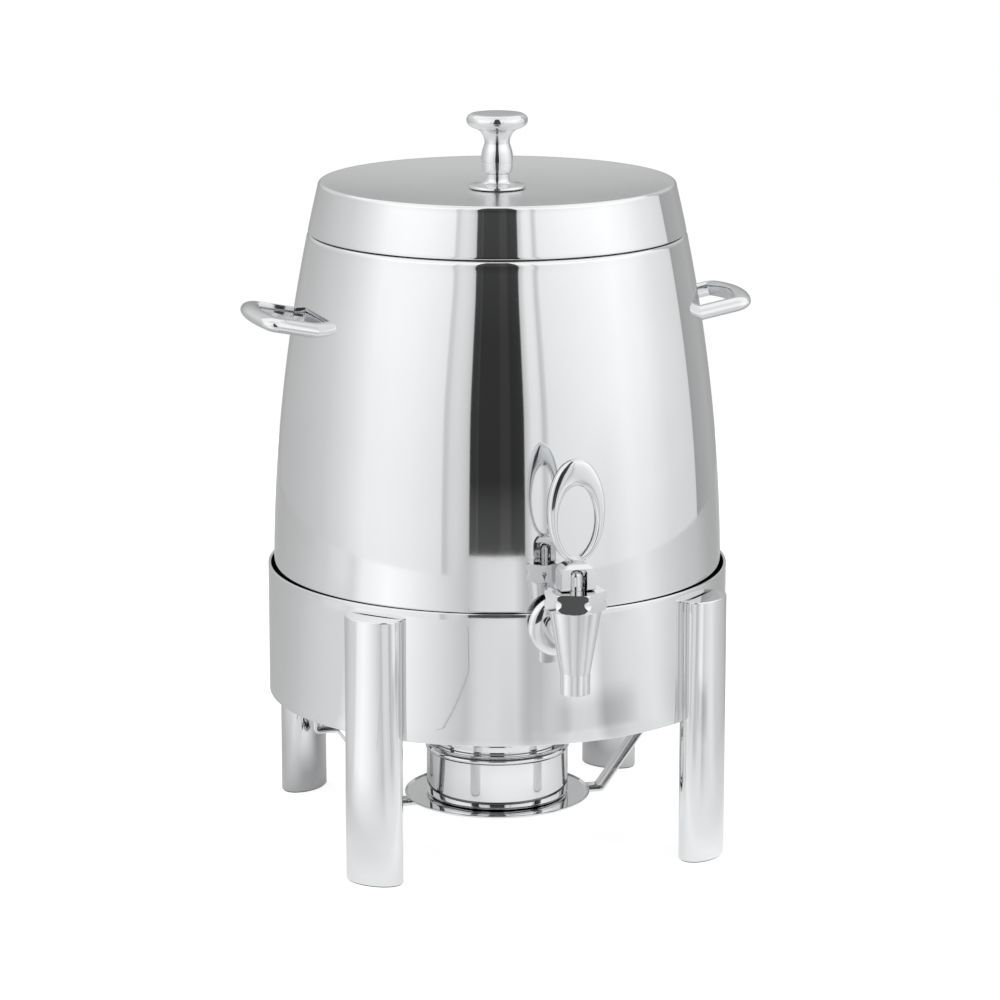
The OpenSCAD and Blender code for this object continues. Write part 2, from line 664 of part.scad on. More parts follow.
// Lever ring: an oval with a low oval hole, thick at its edges' middle and bevelled to both faces
module lever_ring() {
    steps = 40;
    a = ring_w / 2;
    b = ring_h / 2;
    hole_a = a * hole_w_share;
    hole_b = b * hole_h_share;
    low = ring_h * hole_low_share;
    section = [[0, 0.22], [0.35, 0.46], [0.75, 0.5], [1, 0.36], [1, -0.36], [0.75, -0.5], [0.35, -0.46], [0, -0.22]];
    rings = [for (i = [0:steps - 1]) let (t = 360 * i / steps, ox = a * cos(t), oz = b * sin(t),
        ix = hole_a * cos(t), iz = hole_b * sin(t) - low)
        for (q = section) [ox + (ix - ox) * q[0], -q[1] * ring_t, oz + (iz - oz) * q[0]]];
    translate([0, -tap_y, ring_z + b]) polyhedron(rings, ring_faces(steps, len(section)));
}

// Tap lever: the ring stands on a fork that straddles the stem and cams against the bonnet
module tap_lever() {
    low = bonnet_top + cam_gap;
    half = fork_d / 2;
    r = fork_corner_r;
    crown_r = half * 0.8;
    color("silver") difference() {
        union() {
            intersection() {
                translate([-fork_w, -tap_y, 0]) rotate([90, 0, 90]) linear_extrude(2 * fork_w) polygon(concat(
                    arc(-half + r, low + r, r, 180, 270, 5), arc(half - r, low + r, r, 270, 360, 5),
                    arc(half - crown_r, fork_top - crown_r, crown_r, 0, 90, 6),
                    arc(-half + crown_r, fork_top - crown_r, crown_r, 90, 180, 6)));
                translate([0, fork_d - tap_y, 0]) rotate([90, 0, 0]) linear_extrude(2 * fork_d) polygon(concat(
                    [[-fork_w / 2, low - cut], [fork_w / 2, low - cut]],
                    arc(fork_w / 2 - fork_arch_r, fork_top - fork_arch_r, fork_arch_r, 0, 90, 8),
                    arc(fork_arch_r - fork_w / 2, fork_top - fork_arch_r, fork_arch_r, 90, 180, 8)));
            }
            lever_ring();
        }
        slot_w = stem_d + 2 * fork_gap;
        translate([-slot_w / 2, -tap_y - fork_d, low - cut])
            cube([slot_w, 2 * fork_d, fork_top - fork_crown - low + cut]);
        translate([-fork_w, -tap_y, pin_z]) rotate([0, 90, 0]) cylinder(r = pin_r + run, h = 2 * fork_w);
    }
}

// Lever pin, pressed through the fork
module lever_pin() {
    color("gray") translate([-fork_w / 2 + seat, -tap_y, pin_z]) rotate([0, 90, 0])
        cylinder(r = pin_r, h = fork_w - 2 * seat);
}

// Tap flange: domed washer against the collar, which covers the notch
module tap_flange() {
    r = flange_d / 2;
    color("silver") along_shank(flange_y) rotate_extrude() polygon(concat(
        [[shank_r + run, 0], [r - flange_t / 6, 0]],
        [for (i = [0:8]) let (t = 90 * i / 8) [neck_r + (r - neck_r) * cos(t), flange_t * (0.25 + 0.75 * sin(t))]],
        [[shank_r + run, flange_t]]));
}

// Outer seal: silicone ferrule on the shank, through the collar's notch
module outer_seal() {
    y = side_x(tap_z) + rest;
    color("dimgray") along_shank(y) difference() {
        cylinder(r = shank_r + seal_out_w, h = flange_y - y - seat);
        translate([0, 0, -cut]) cylinder(r = shank_r + run, h = flange_y - y + 2 * cut);
    }
}

// Inner seal: silicone washer between the urn's wall and the nut
module inner_seal() {
    seal_out_r = shank_r + seal_in_w;
    y = sqrt(pow(side_x(tap_z) - urn_wall, 2) - seal_out_r * seal_out_r) - rest;
    color("dimgray") along_shank(y - seal_in_t) difference() {
        cylinder(r = seal_out_r, h = seal_in_t);
        translate([0, 0, -cut]) cylinder(r = shank_r + run, h = seal_in_t + 2 * cut);
    }
}

// Shank nut: hexagon nut inside the urn
module shank_nut() {
    seal_out_r = shank_r + seal_in_w;
    y = sqrt(pow(side_x(tap_z) - urn_wall, 2) - seal_out_r * seal_out_r) - rest - seal_in_t - seat;
    color("silver") along_shank(y - nut_h) difference() {
        cylinder(r = nut_af / sqrt(3), h = nut_h, $fn = 6);
        translate([0, 0, -cut]) cylinder(r = shank_r + run, h = nut_h + 2 * cut);
    }
}

collar();
shelf_ring();
leg(leg_angles[0]);  // leg_front_left
leg(leg_angles[1]);  // leg_front_right
leg(leg_angles[2]);  // leg_rear_left
leg(leg_angles[3]);  // leg_rear_right
foot(leg_angles[0]);  // foot_front_left
foot(leg_angles[1]);  // foot_front_right
foot(leg_angles[2]);  // foot_rear_left
foot(leg_angles[3]);  // foot_rear_right
leg_screws();
burner_strap();
strap_screws();
burner_plate();
burner_rivet();
fuel_cup();
burner_cover();
urn_shell();
urn_bottom();
handle(180);  // handle_left
handle(0);  // handle_right
lid_shell();
lid_ring();
knob();
knob_screw();
tap_body();
tap_bonnet();
valve_stem();
seat_seal();
valve_spring();
tap_lever();
lever_pin();
tap_flange();
outer_seal();
inner_seal();
shank_nut();
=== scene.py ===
"""Looks of the polished steel coffee urn: mirror-buffed sheet, turned knob, cast tap and its plain studio.

Lengths are written in millimetres and become metres in the mesh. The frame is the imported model's own:
+Z up, the tap facing -Y, and the origin on the table under the urn's axis.
"""
import bmesh
import bpy
import numpy as np
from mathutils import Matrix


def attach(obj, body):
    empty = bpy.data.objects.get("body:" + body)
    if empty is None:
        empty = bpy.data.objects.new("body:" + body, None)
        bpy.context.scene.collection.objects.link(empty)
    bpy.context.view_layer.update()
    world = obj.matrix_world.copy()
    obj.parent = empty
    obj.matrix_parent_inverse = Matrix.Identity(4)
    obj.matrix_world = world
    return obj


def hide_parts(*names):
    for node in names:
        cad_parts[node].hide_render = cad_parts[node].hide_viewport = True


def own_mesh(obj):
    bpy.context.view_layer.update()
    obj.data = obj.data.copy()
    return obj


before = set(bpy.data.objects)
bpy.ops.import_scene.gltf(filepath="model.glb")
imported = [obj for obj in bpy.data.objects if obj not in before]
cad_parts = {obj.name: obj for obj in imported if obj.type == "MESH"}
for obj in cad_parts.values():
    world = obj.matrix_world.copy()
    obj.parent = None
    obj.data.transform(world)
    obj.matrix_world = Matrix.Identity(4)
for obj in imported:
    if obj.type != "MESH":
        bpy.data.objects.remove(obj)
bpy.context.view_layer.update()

# Sizes, in millimetres, the same as in the part's source. At the end of a name, R is a radius, W a width, T a
# thickness, H a height, D a depth, L a length, and Y and Z a place in the frame.
SEAT, REST, RUN = 0.1, 0.3, 0.05  # clearances: of a seat, of a loose piece, and of a bore on what goes through it
# Collar, whose hem is the rounding of its edges, and legs
COLLAR_R, COLLAR_WALL, COLLAR_Z, COLLAR_TOP, HEM, NOTCH_R = 146.0, 1.8, 91.0, 174.0, 0.5, 9.5
LEG_AXIS_R, LEG_W, LEG_T, LEG_H, LEG_WALL, FOOT_DROP = 149.0, 38.5, 25.0, 168.0, 1.5, 0.6
# Strap, saucer, cup and its cover
STRAP_W, STRAP_T = 16.0, 2.0
PLATE_R, PLATE_Z, RIVET_HOLE_R = 60.5, 18.1, 2.6
CUP_R, CUP_WALL, CUP_Z, CUP_TOP, COVER_NECK_H = 45.5, 1.0, 19.2, 53.8, 8.0
# Urn's wall and handles
URN_R, BELLY_Z, SIDE_R, URN_WALL = 142.4, 160.0, 1100.0, 1.2
URN_FOOT_Z, SEAM_Z, SHOULDER_R, MOUTH_LEDGE, MOUTH_H = 93.3, 386.0, 4.0, 2.6, 9.0
HANDLE_Z, HANDLE_TILT, GRIP_GAP, GRIP_R, ARM_L, ROD_W, ROD_H, CORNER_R = 333.5, 11.0, 57.0, 88.0, 20.5, 9.8, 9.3, 1.2
# Lid, which is flat within LID_FLAT of its middle, and knob
LID_Z, LID_TOP, LID_WALL, LID_EDGE_R, LID_DISH, LID_FLAT = 386.3, 417.5, 1.2, 2.5, 5.0, 20.0
KNOB_Z, KNOB_R, KNOB_H = 412.6, 19.2, 46.9
# Tap's casting and flange. SHANK_END and FLANGE_Y are distances from the urn's axis toward the tap.
TAP_Y, TAP_Z = -186.0, 166.5
OUTLET_R, OUTLET_BORE_R, OUTLET_Z, OUTLET_L = 8.9, 5.7, 134.0, 13.5
CHAMBER_R, CHAMBER_BORE_R, CHAMBER_TOP, VALVE_SEAT_Z = 16.0, 11.5, 186.5, 150.5
NECK_R, SHANK_R, SHANK_BORE_R, SHANK_END = 10.0, 8.0, 5.0, 127.2
FLANGE_Y, FLANGE_T, FLANGE_R = 146.4, 6.0, 19.0
# Bonnet, with its nut's flats: their distance from its axis, the direction of one of them, and their lean
BONNET_Z, BONNET_H, BONNET_R, PLUG_H = 186.6, 11.6, 19.0, 8.0
NUT_FLAT, NUT_TURN, NUT_LEAN = 16.4, 249.0, 4.5
# Stem, spring and lever. The stem rises 4.5 mm for each radian of the lever's full pull of 35 degrees.
STEM_R, STEM_COLLAR_R, STEM_COLLAR_T, PIN_Z, STEM_ABOVE_PIN = 4.7, 7.3, 2.4, 204.7, 6.2
SPRING_LOW, SPRING_HIGH, SPRING_TURNS = 158.1, 178.5, 6
FORK_TOP, FORK_CROWN, FORK_D, FORK_GAP_W, FORK_W = 216.2, 4.3, 15.0, 10.2, 21.0
RING_W, RING_H, RING_T, RING_SUNK = 35.0, 62.8, 8.0, 1.2
HOLE_W_SHARE, HOLE_H_SHARE, HOLE_LOW_SHARE = 0.68, 0.693, 0.098

# Turning steps round the collar and the urn, the burner, and the small turned pieces
LARGE, MIDDLE, SMALL = 288, 192, 128
# Metres within which points count as one, and below which an edge counts as none
MERGE, SLIVER = 2e-6, 1e-7
# Roughness that the lid's satin top has above that of the mirror-buffed sheet
LID_SATIN = 0.17
# Degrees that the camera stands to the left of the tap's direction
CAMERA_SIDE = 14.533


# ---- Curves and sections ----

def side_r(z):
    """Radius of the urn's outside at height z: one arc of radius SIDE_R, upright at BELLY_Z."""
    return URN_R - SIDE_R + np.sqrt(SIDE_R ** 2 - (np.asarray(z) - BELLY_Z) ** 2)


def arc(x, y, r, a0, a1, n):
    """n + 1 points of a circle's arc: centre plus r times cosine and sine of an angle that runs from a0 to a1."""
    a = np.radians(np.linspace(a0, a1, n + 1))
    return np.stack([x + r * np.cos(a), y + r * np.sin(a)], axis=1)


def join(*runs):
    """Runs of points put end to end, with points closer than a thousandth of the unit left out."""
    p = np.concatenate([np.atleast_2d(np.asarray(r, dtype=float)) for r in runs])
    keep = np.ones(len(p), dtype=bool)
    keep[1:] = np.linalg.norm(np.diff(p, axis=0), axis=1) > 1e-3
    return p[keep]


def rounded(corners, n=5, margin=0.5):
    """Polyline through corners (x, y, radius): each corner becomes an arc tangent to both legs, with a point
    a short margin before and after it, so that the shading of the flats beside it stays flat."""
    c = np.asarray(corners, dtype=float)
    straight = 1.56  # half angle, in radians, past which a corner counts as none
    runs = [c[:1, :2]]
    for before, at, after in zip(c[:-2], c[1:-1], c[2:]):
        u = (before[:2] - at[:2]) / np.linalg.norm(before[:2] - at[:2])
        v = (after[:2] - at[:2]) / np.linalg.norm(after[:2] - at[:2])
        half = np.arccos(np.clip(u @ v, -1, 1)) / 2
        if at[2] <= 0 or half > straight:
            runs.append(at[:2])
            continue
        reach = at[2] / np.tan(half)
        middle = (u + v) / np.linalg.norm(u + v)
        centre = at[:2] + middle * at[2] / np.sin(half)
        a = at[:2] + u * reach - centre
        b = at[:2] + v * reach - centre
        t = np.linspace(0, 1, n + 1)[:, None]
        turn = np.pi - 2 * half
        bend = (np.sin((1 - t) * turn) * a + np.sin(t * turn) * b) / np.sin(turn)
        runs += [at[:2] + u * (reach + margin), centre + bend, at[:2] + v * (reach + margin)]
    runs.append(c[-1:, :2])
    return join(*runs)


def smooth(points, n):
    """Catmull-Rom curve: between two points, the cubic whose slope at each is half the step between its neighbours."""
    p = np.asarray(points, dtype=float)
    p = np.concatenate([p[:1], p, p[-1:]])
    a, b, c, d = p[:-3, None], p[1:-2, None], p[2:-1, None], p[3:, None]
    t = np.linspace(0, 1, n, endpoint=False)[None, :, None]
    q = (2 * b + (c - a) * t + (2 * a - 5 * b + 4 * c - d) * t ** 2 + (3 * b - a - 3 * c + d) * t ** 3) / 2
    return np.concatenate([q.reshape(-1, p.shape[1]), p[-1:]])


def beside(p, off):
    """The polyline moved sideways by off, to the left of its own direction, mitred at every point."""
    step = np.diff(p, axis=0)
    step /= np.linalg.norm(step, axis=1, keepdims=True)
    left = np.stack([-step[:, 1], step[:, 0]], axis=1)
    u = np.concatenate([left[:1], left])
    v = np.concatenate([left, left[-1:]])
    m = u + v
    m /= np.linalg.norm(m, axis=1, keepdims=True)
    return p + m * (off / np.sum(m * u, axis=1, keepdims=True))


def sheet(p, wall):
    """Closed outline of sheet metal: the polyline, a rounded edge, the polyline moved to its left by the wall, and a
    rounded edge. An edge is half an oval that bulges away from a point inside: its middle, plus half the wall times
    the cosine of an angle across, plus 0.45 of the wall times the angle's sine less one outward. The straight runs
    are drawn in at both ends to meet it."""
    q = beside(p, wall)[::-1]

    def edge(a, b, inside):
        middle = (a + b) / 2
        out = middle - inside
        out *= np.linalg.norm(a - b) / 2 / np.linalg.norm(out)
        t = np.radians(np.linspace(0, 180, 8))[1:-1, None]
        return middle + (a - middle) * np.cos(t) + 0.9 * out * (np.sin(t) - 1)

    def drawn_in(run):
        run = run.copy()
        step = run[[1, -2]] - run[[0, -1]]
        length = np.linalg.norm(step, axis=1, keepdims=True)
        run[[0, -1]] += step / length * np.minimum(0.45 * wall, 0.8 * length)
        return run

    # The last edge bulges straight out of the sheet. The first leans a little, away from the sheet's far end.
    first = edge(p[-1], q[0], (p[-2] + q[-2]) / 2)
    last = edge(q[-1], p[0], (p[1] + q[-2]) / 2)
    return join(drawn_in(p), first, drawn_in(q), last)


def along(x, pairs):
    """Straight lines between pairs of place and value, read at x."""
    return np.interp(x, *np.transpose(pairs))


def rotated(x, y, degrees):
    """Plan position turned about the Z axis: x cosine less y sine, and x sine plus y cosine, of the angle."""
    c, s = np.cos(np.radians(degrees)), np.sin(np.radians(degrees))
    return x * c - y * s, x * s + y * c


def from_front(r, degrees):
    """Plan position at a distance r from the axis: r times sine and minus cosine of an angle from the tap's side."""
    a = np.radians(degrees)
    return r * np.sin(a), -r * np.cos(a)


# ---- Meshes ----

def grid_faces(n, m, rows_wrap=False, cols_wrap=False):
    """Faces over a grid of n rows of m points: each four neighbours make one. A wrapped direction closes on itself."""
    i = np.arange(n if rows_wrap else n - 1)[:, None]
    j = np.arange(m if cols_wrap else m - 1)[None, :]
    next_i, next_j = (i + 1) % n, (j + 1) % m
    return np.stack([i * m + j, next_i * m + j, next_i * m + next_j, i * m + next_j], axis=-1).reshape(-1, 4)


def new_mesh(name, points, faces):
    """Mesh of faces over a grid of points, in millimetres."""
    mesh = bpy.data.meshes.new(name)
    mesh.from_pydata((points.reshape(-1, 3) / 1000).tolist(), [], faces)
    return mesh


def show(name, data):
    """Object at the world's origin, in the scene, that holds a mesh or a camera."""
    obj = bpy.data.objects.new(name, data)
    bpy.context.scene.collection.objects.link(obj)
    return obj


def skin(name, points, rows_wrap=False, cols_wrap=True, caps=False, sharp=32):
    """Piece over a grid of points, with the first and last row closed by caps where asked. Points that meet at a seam
    or a pole are merged, faces turn outward, and edges past the angle sharp stay sharp in the smooth shading."""
    n, m = points.shape[:2]
    faces = grid_faces(n, m, rows_wrap, cols_wrap).tolist()
    if caps:
        faces += [np.arange(m).tolist(), (np.arange(m)[::-1] + (n - 1) * m).tolist()]
    mesh = new_mesh(name, points, faces)
    b = bmesh.new()
    b.from_mesh(mesh)
    bmesh.ops.remove_doubles(b, verts=b.verts, dist=MERGE)
    bmesh.ops.dissolve_degenerate(b, edges=b.edges, dist=SLIVER)
    bmesh.ops.recalc_face_normals(b, faces=b.faces)
    b.to_mesh(mesh)
    b.free()
    mesh.shade_smooth()
    mesh.set_sharp_from_angle(angle=np.radians(sharp))
    return show(name, mesh)


def turned(name, outline, closed=True, steps=LARGE, centre_y=0.0):
    """Surface of revolution: the outline's radius times cosine and sine of the turning angle, at its own height."""
    a = np.linspace(0, 2 * np.pi, steps, endpoint=False)[:, None]
    r, z = outline[None, :, 0], outline[None, :, 1]
    points = np.stack([r * np.cos(a), centre_y + r * np.sin(a), z + 0 * a], axis=-1)
    return skin(name, points, rows_wrap=True, cols_wrap=closed)


def points_of(mesh):
    """The mesh's points, in metres, as rows of x, y and z."""
    co = np.empty(len(mesh.vertices) * 3)
    mesh.vertices.foreach_get("co", co)
    return co.reshape(-1, 3)


def give(mesh, name, values):
    """Adds an attribute to the mesh, with a value for each of its points."""
    mesh.attributes.new(name, "FLOAT", "POINT").data.foreach_set("value", values)


def on_shank(obj):
    """Lays a piece that was turned about +Z along -Y on the tap's shank: its height becomes the distance from the
    urn's axis."""
    x, y, z = points_of(obj.data).T
    obj.data.vertices.foreach_set("co", np.stack([x, -z, y + TAP_Z / 1000], axis=1).ravel())
    obj.data.update()
    return obj


def joined(name, parts):
    """Several closed skins kept as one piece."""
    b = bmesh.new()
    for part in parts:
        mesh = part.data
        b.from_mesh(mesh)
        bpy.data.objects.remove(part)
        bpy.data.meshes.remove(mesh)
    mesh = bpy.data.meshes.new(name)
    b.to_mesh(mesh)
    b.free()
    return show(name, mesh)


# ---- Stand and burner ----

def collar_band():
    """Plain cylinder band with rounded edges, in two runs of one section. The long run goes round from one side of
    the notch to the other. The short run below the notch ends at the notch's curve, which is the shank's height less
    the root of notch radius squared minus distance to the middle squared."""
    r_out, r_in = COLLAR_R, COLLAR_R - COLLAR_WALL
    z0, z1 = COLLAR_Z + HEM, COLLAR_TOP - HEM
    low = join(arc(r_in + HEM, z0, HEM, 180, 270, 5), arc(r_out - HEM, z0, HEM, 270, 360, 5))
    top = join(arc(r_out - HEM, z1, HEM, 0, 90, 5), arc(r_in + HEM, z1, HEM, 90, 180, 5))
    up = np.linspace(0, 1, 9)[1:-1]
    outside = np.stack([r_out + 0 * up, z0 + (z1 - z0) * up], axis=1)
    inside = np.stack([r_in + 0 * up, z1 - (z1 - z0) * up], axis=1)
    section = join(low, outside, top, inside)

    def run(name, degrees, radius, height):
        x, y = from_front(radius, degrees[:, None])
        return skin(name, np.stack([x, y, height + 0 * x], axis=-1), caps=True, sharp=40)

    side = np.degrees(np.arcsin(NOTCH_R / r_out))
    long_run = run("long_run", np.linspace(side, 360 - side, LARGE), section[None, :, 0], section[None, :, 1])
    across = np.linspace(-side, side, 25)
    curve = TAP_Z - np.sqrt(np.maximum(NOTCH_R ** 2 - (r_out * np.sin(np.radians(across))) ** 2, 0))[:, None]
    # Each point of the short run's section lies at a base height plus a share of the rise to the curve
    radius = np.concatenate([low[:, 0], np.full(len(up) + 1, r_out), np.full(len(up) + 1, r_in)])
    base = np.concatenate([low[:, 1], np.full(2 * len(up) + 2, z0)])
    share = np.concatenate([np.zeros(len(low)), up, [1, 1], up[::-1]])
    short_run = run("short_run", across, radius[None, :], base[None, :] + share[None, :] * (curve - z0))
    return joined("collar_band", [long_run, short_run])


def leg_tube(name, degrees):
    """Oval tube: half width times cosine and half thickness times sine of an angle. Above the ledge, its inner side
    follows the collar's circle. The oval rises through rings that are drawn in at both ends to round them."""
    clasp_r, ledge = COLLAR_R + SEAT, COLLAR_Z - SEAT
    soft, plug_h = 0.7, 12.0

    def oval(t):
        return np.stack([LEG_W / 2 * np.cos(t), LEG_AXIS_R + LEG_T / 2 * np.sin(t)], axis=1)

    def drawn_in(ring, by):
        tangent = np.roll(ring, -1, axis=0) - np.roll(ring, 1, axis=0)
        tangent /= np.linalg.norm(tangent, axis=1, keepdims=True)
        return ring + by * np.stack([-tangent[:, 1], tangent[:, 0]], axis=1)

    # The angle at which the oval crosses the collar's circle, found on a fine row of angles
    fine = np.radians(np.linspace(-90, 90, 20001))
    cross = fine[np.argmin(np.abs(np.hypot(*oval(fine).T) - clasp_r))]
    outer = oval(np.linspace(cross, np.pi - cross, 61))
    inner = oval(np.linspace(np.pi - cross, 2 * np.pi + cross, 33)[1:-1])
    end = np.arctan2(outer[-1, 0], outer[-1, 1])
    around = np.linspace(end, -end, 33)[1:-1]
    clasp = clasp_r * np.stack([np.sin(around), np.cos(around)], axis=1)
    whole, clasping = np.concatenate([outer, inner]), np.concatenate([outer, clasp])

    low, high = np.radians(np.linspace(0, 90, 5)), np.radians(np.linspace(0, 90, 6))
    rings = [(drawn_in(whole, LEG_WALL), plug_h), (drawn_in(whole, LEG_WALL), FOOT_DROP)]
    rings += [(drawn_in(whole, soft / 2 * (1 - np.sin(s))), FOOT_DROP + soft / 2 * (1 - np.cos(s))) for s in low]
    rings += [(whole, z) for z in np.linspace(3, ledge, 12)]
    rings += [(clasping, z) for z in np.linspace(ledge, LEG_H - 1.5, 10)]
    rings += [(drawn_in(clasping, soft * (1 - np.cos(s))), LEG_H - soft * (1 - np.sin(s))) for s in high]
    rings += [(drawn_in(clasping, soft + 0.5), LEG_H)]
    rows = np.stack([np.column_stack([ring, np.full(len(ring), z)]) for ring, z in rings])
    x, y = rotated(rows[..., 0], -rows[..., 1], degrees)
    return skin(name, np.stack([x, y, rows[..., 2]], axis=-1), caps=True, sharp=35)


def burner_saucer():
    """Shallow saucer: flat sheet whose edge turns up and out in one small roll."""
    wall, roll_r, rim_h = 0.9, 1.4, 1.5
    bend, rim = PLATE_R - 2.2, PLATE_R - 0.6
    p = rounded([(RIVET_HOLE_R, PLATE_Z, 0), (bend, PLATE_Z, roll_r), (rim, PLATE_Z + rim_h, 0)])
    return turned("burner_saucer", sheet(p, wall), steps=MIDDLE)


def fuel_cup_wall():
    """Drawn cup: rounded foot, upright wall, and a bead whose bulge is the sine of the height across it."""
    foot_r, bead_out, bead_h = 2.5, 0.9, 4.0
    bead_low = CUP_TOP - bead_h - 0.5
    floor = [[RIVET_HOLE_R, CUP_Z], [CUP_R - 4, CUP_Z]]
    foot = arc(CUP_R - foot_r, CUP_Z + foot_r, foot_r, 270, 360, 8)
    wall = [[CUP_R, CUP_Z + 8], [CUP_R, bead_low - 0.6]]
    s = np.linspace(0, 1, 13)
    bead = np.stack([CUP_R + bead_out * np.sin(np.pi * s), bead_low + bead_h * s], axis=1)
    return turned("fuel_cup_wall", sheet(join(floor, foot, wall, bead, [[CUP_R, CUP_TOP]]), CUP_WALL), steps=MIDDLE)


def burner_ring():
    """Cover: skirt inside the cup, flange on its rim, and a rounded neck that closes in to the flame's opening."""
    wall, skirt_h, flame_share = 1.0, 8.0, 0.5
    z = CUP_TOP + REST
    top = z + COVER_NECK_H
    skirt, rim, neck = CUP_R - 1.4, CUP_R + 0.5, CUP_R - 4.4
    flame = neck * flame_share
    start = (skirt - wall, z - skirt_h / 2, 0)
    outline = rounded([
        start, (skirt - wall, z - skirt_h, 0.3), (skirt, z - skirt_h, 0.3), (skirt, z, 0.2),
        (rim, z, 0.4), (rim, z + wall, 0.4), (neck, z + wall, 0.5), (neck, top, 2.5),
        (flame, top, 0.4), (flame, top - wall, 0.4), (neck - wall, top - wall, 1.5), (neck - wall, z, 0.3),
        (skirt - wall, z, 0.3), start], n=6, margin=0.15)
    return turned("burner_ring", outline[:-1], steps=MIDDLE)


def strap_bar():
    """Flat bar carried along a path in the plane y = 0: a level middle, two slopes, a level step at the end of each,
    a riser, and a level tab under the shelf. Its section is a rectangle with cut corners."""
    bend_r, cut = 2.5, 0.35
    side = [(68.5, 17.0, bend_r), (106.55, 69.0, bend_r), (121.25, 69.0, bend_r), (121.25, 89.9, bend_r),
            (132.3, 89.9, 0)]
    path = rounded([(-x, z, r) for x, z, r in side[::-1]] + side, n=8, margin=0.8)
    step = np.gradient(path, axis=0)
    step /= np.linalg.norm(step, axis=1, keepdims=True)
    up = np.stack([-step[:, 1], step[:, 0]], axis=1)
    t, w = STRAP_T / 2, STRAP_W / 2
    h, y = np.array([(-t, cut - w), (cut - t, -w), (t - cut, -w), (t, cut - w),
                     (t, w - cut), (t - cut, w), (cut - t, w), (-t, w - cut)]).T
    points = np.stack([path[:, :1] + up[:, :1] * h, y + 0 * path[:, :1], path[:, 1:] + up[:, 1:] * h], axis=-1)
    return skin("strap_bar", points, caps=True, sharp=50)


# ---- Urn and lid ----

def urn_wall():
    """Drawn wall: the side's arc, a shoulder arc, the ledge, and the upright mouth, as sheet with rounded edges."""
    turn_z = SEAM_Z - SHOULDER_R
    shoulder_x = side_r(turn_z) - SHOULDER_R
    mouth_r, bend_r = shoulder_x - MOUTH_LEDGE, 0.8
    z = np.linspace(URN_FOOT_Z, turn_z, 72)
    side = np.stack([side_r(z), z], axis=1)
    shoulder = arc(shoulder_x, turn_z, SHOULDER_R, 12, 90, 10)
    mouth = rounded([(shoulder_x, SEAM_Z, 0), (mouth_r, SEAM_Z, bend_r), (mouth_r, SEAM_Z + MOUTH_H, 0)])
    return turned("urn_wall", sheet(join(side, shoulder, mouth), URN_WALL))


def grip(name, degrees):
    """D-shaped rod carried round a handle: level arms, arcs of small radius at the inner corners, and a bowed grip.
    Each station is a centre, a radius and an angle; the rod lies outside that radius."""
    corner_x, corner_y = ARM_L - CORNER_R, GRIP_GAP / 2 - CORNER_R
    grip_a = np.degrees(np.arcsin(corner_y / (GRIP_R - CORNER_R)))
    grip_x = corner_x - (GRIP_R - CORNER_R) * np.cos(np.radians(grip_a))
    arm = [(x, -corner_y, CORNER_R, -90.0) for x in (-6.0, 0.0, 6.0, 12.0, corner_x - 1)]
    bend = [(corner_x, -corner_y, CORNER_R, -a) for a in np.linspace(90, grip_a, 13)]
    bowed = [(grip_x, 0.0, GRIP_R, a) for a in np.linspace(-grip_a, grip_a, 41)[1:-1]]
    half = arm + bend
    stations = np.array(half + bowed + [(x, -y, r, -a) for x, y, r, a in half[::-1]])

    edge = 0.5  # rounding of the rod's flat inner side
    v = np.radians(np.linspace(-90, 90, 21))
    bulge = np.stack([edge + (ROD_W - edge) * np.cos(v), ROD_H / 2 * np.sin(v)], axis=1)
    section = join([[0, edge - ROD_H / 2], [0.3 * edge, 0.3 * edge - ROD_H / 2]], bulge,
                   [[0.3 * edge, ROD_H / 2 - 0.3 * edge], [0, ROD_H / 2 - edge]])
    a = np.radians(stations[:, 3:])
    reach = stations[:, 2:3] + section[None, :, 0]
    x = stations[:, 0:1] + reach * np.cos(a)
    y = stations[:, 1:2] + reach * np.sin(a)
    z = section[None, :, 1] + 0 * x

    root_x, tilt = side_r(HANDLE_Z), np.radians(HANDLE_TILT)

    def tilted(x, z):
        return root_x + x * np.cos(tilt) - z * np.sin(tilt), HANDLE_Z + x * np.sin(tilt) + z * np.cos(tilt)

    # Both ends slide along the arm until they lie in the middle of the urn's wall
    for row in (0, -1):
        x[row] = 0
        for _ in range(20):
            urn_x, urn_z = tilted(x[row], z[row])
            x[row] += np.sqrt((side_r(urn_z) - URN_WALL / 2) ** 2 - y[row] ** 2) - urn_x
    out, up = tilted(x, z)
    return skin(name, np.stack([*rotated(out, y, degrees), up], axis=-1), caps=True, sharp=40)


def lid_cover():
    """Lid: the side's arc carried on, an edge arc, and a top that falls to its middle as the square of the distance.
    The top is spun satin, so its attribute named dull is set inside the edge arc."""
    bend_z, middle_z, hole_r = LID_TOP - LID_EDGE_R, LID_TOP - LID_DISH, 2.2
    edge_x = side_r(bend_z) - LID_EDGE_R
    z = np.linspace(LID_Z, bend_z, 16)
    side = np.stack([side_r(z), z], axis=1)
    edge = arc(edge_x, bend_z, LID_EDGE_R, 10, 88, 8)
    s = np.linspace(1, 0, 40)[1:]
    top = np.stack([LID_FLAT + (edge_x - LID_FLAT) * s, LID_TOP - LID_DISH * (1 - s ** 2)], axis=1)
    lid = turned("lid_cover", sheet(join(side, edge, top, [[8.0, middle_z], [hole_r, middle_z]]), LID_WALL))
    x, y, _ = points_of(lid.data).T
    out = np.hypot(x, y) * 1000
    give(lid.data, "dull", np.where(out < edge_x + 0.5, LID_SATIN, 0.0))
    return lid


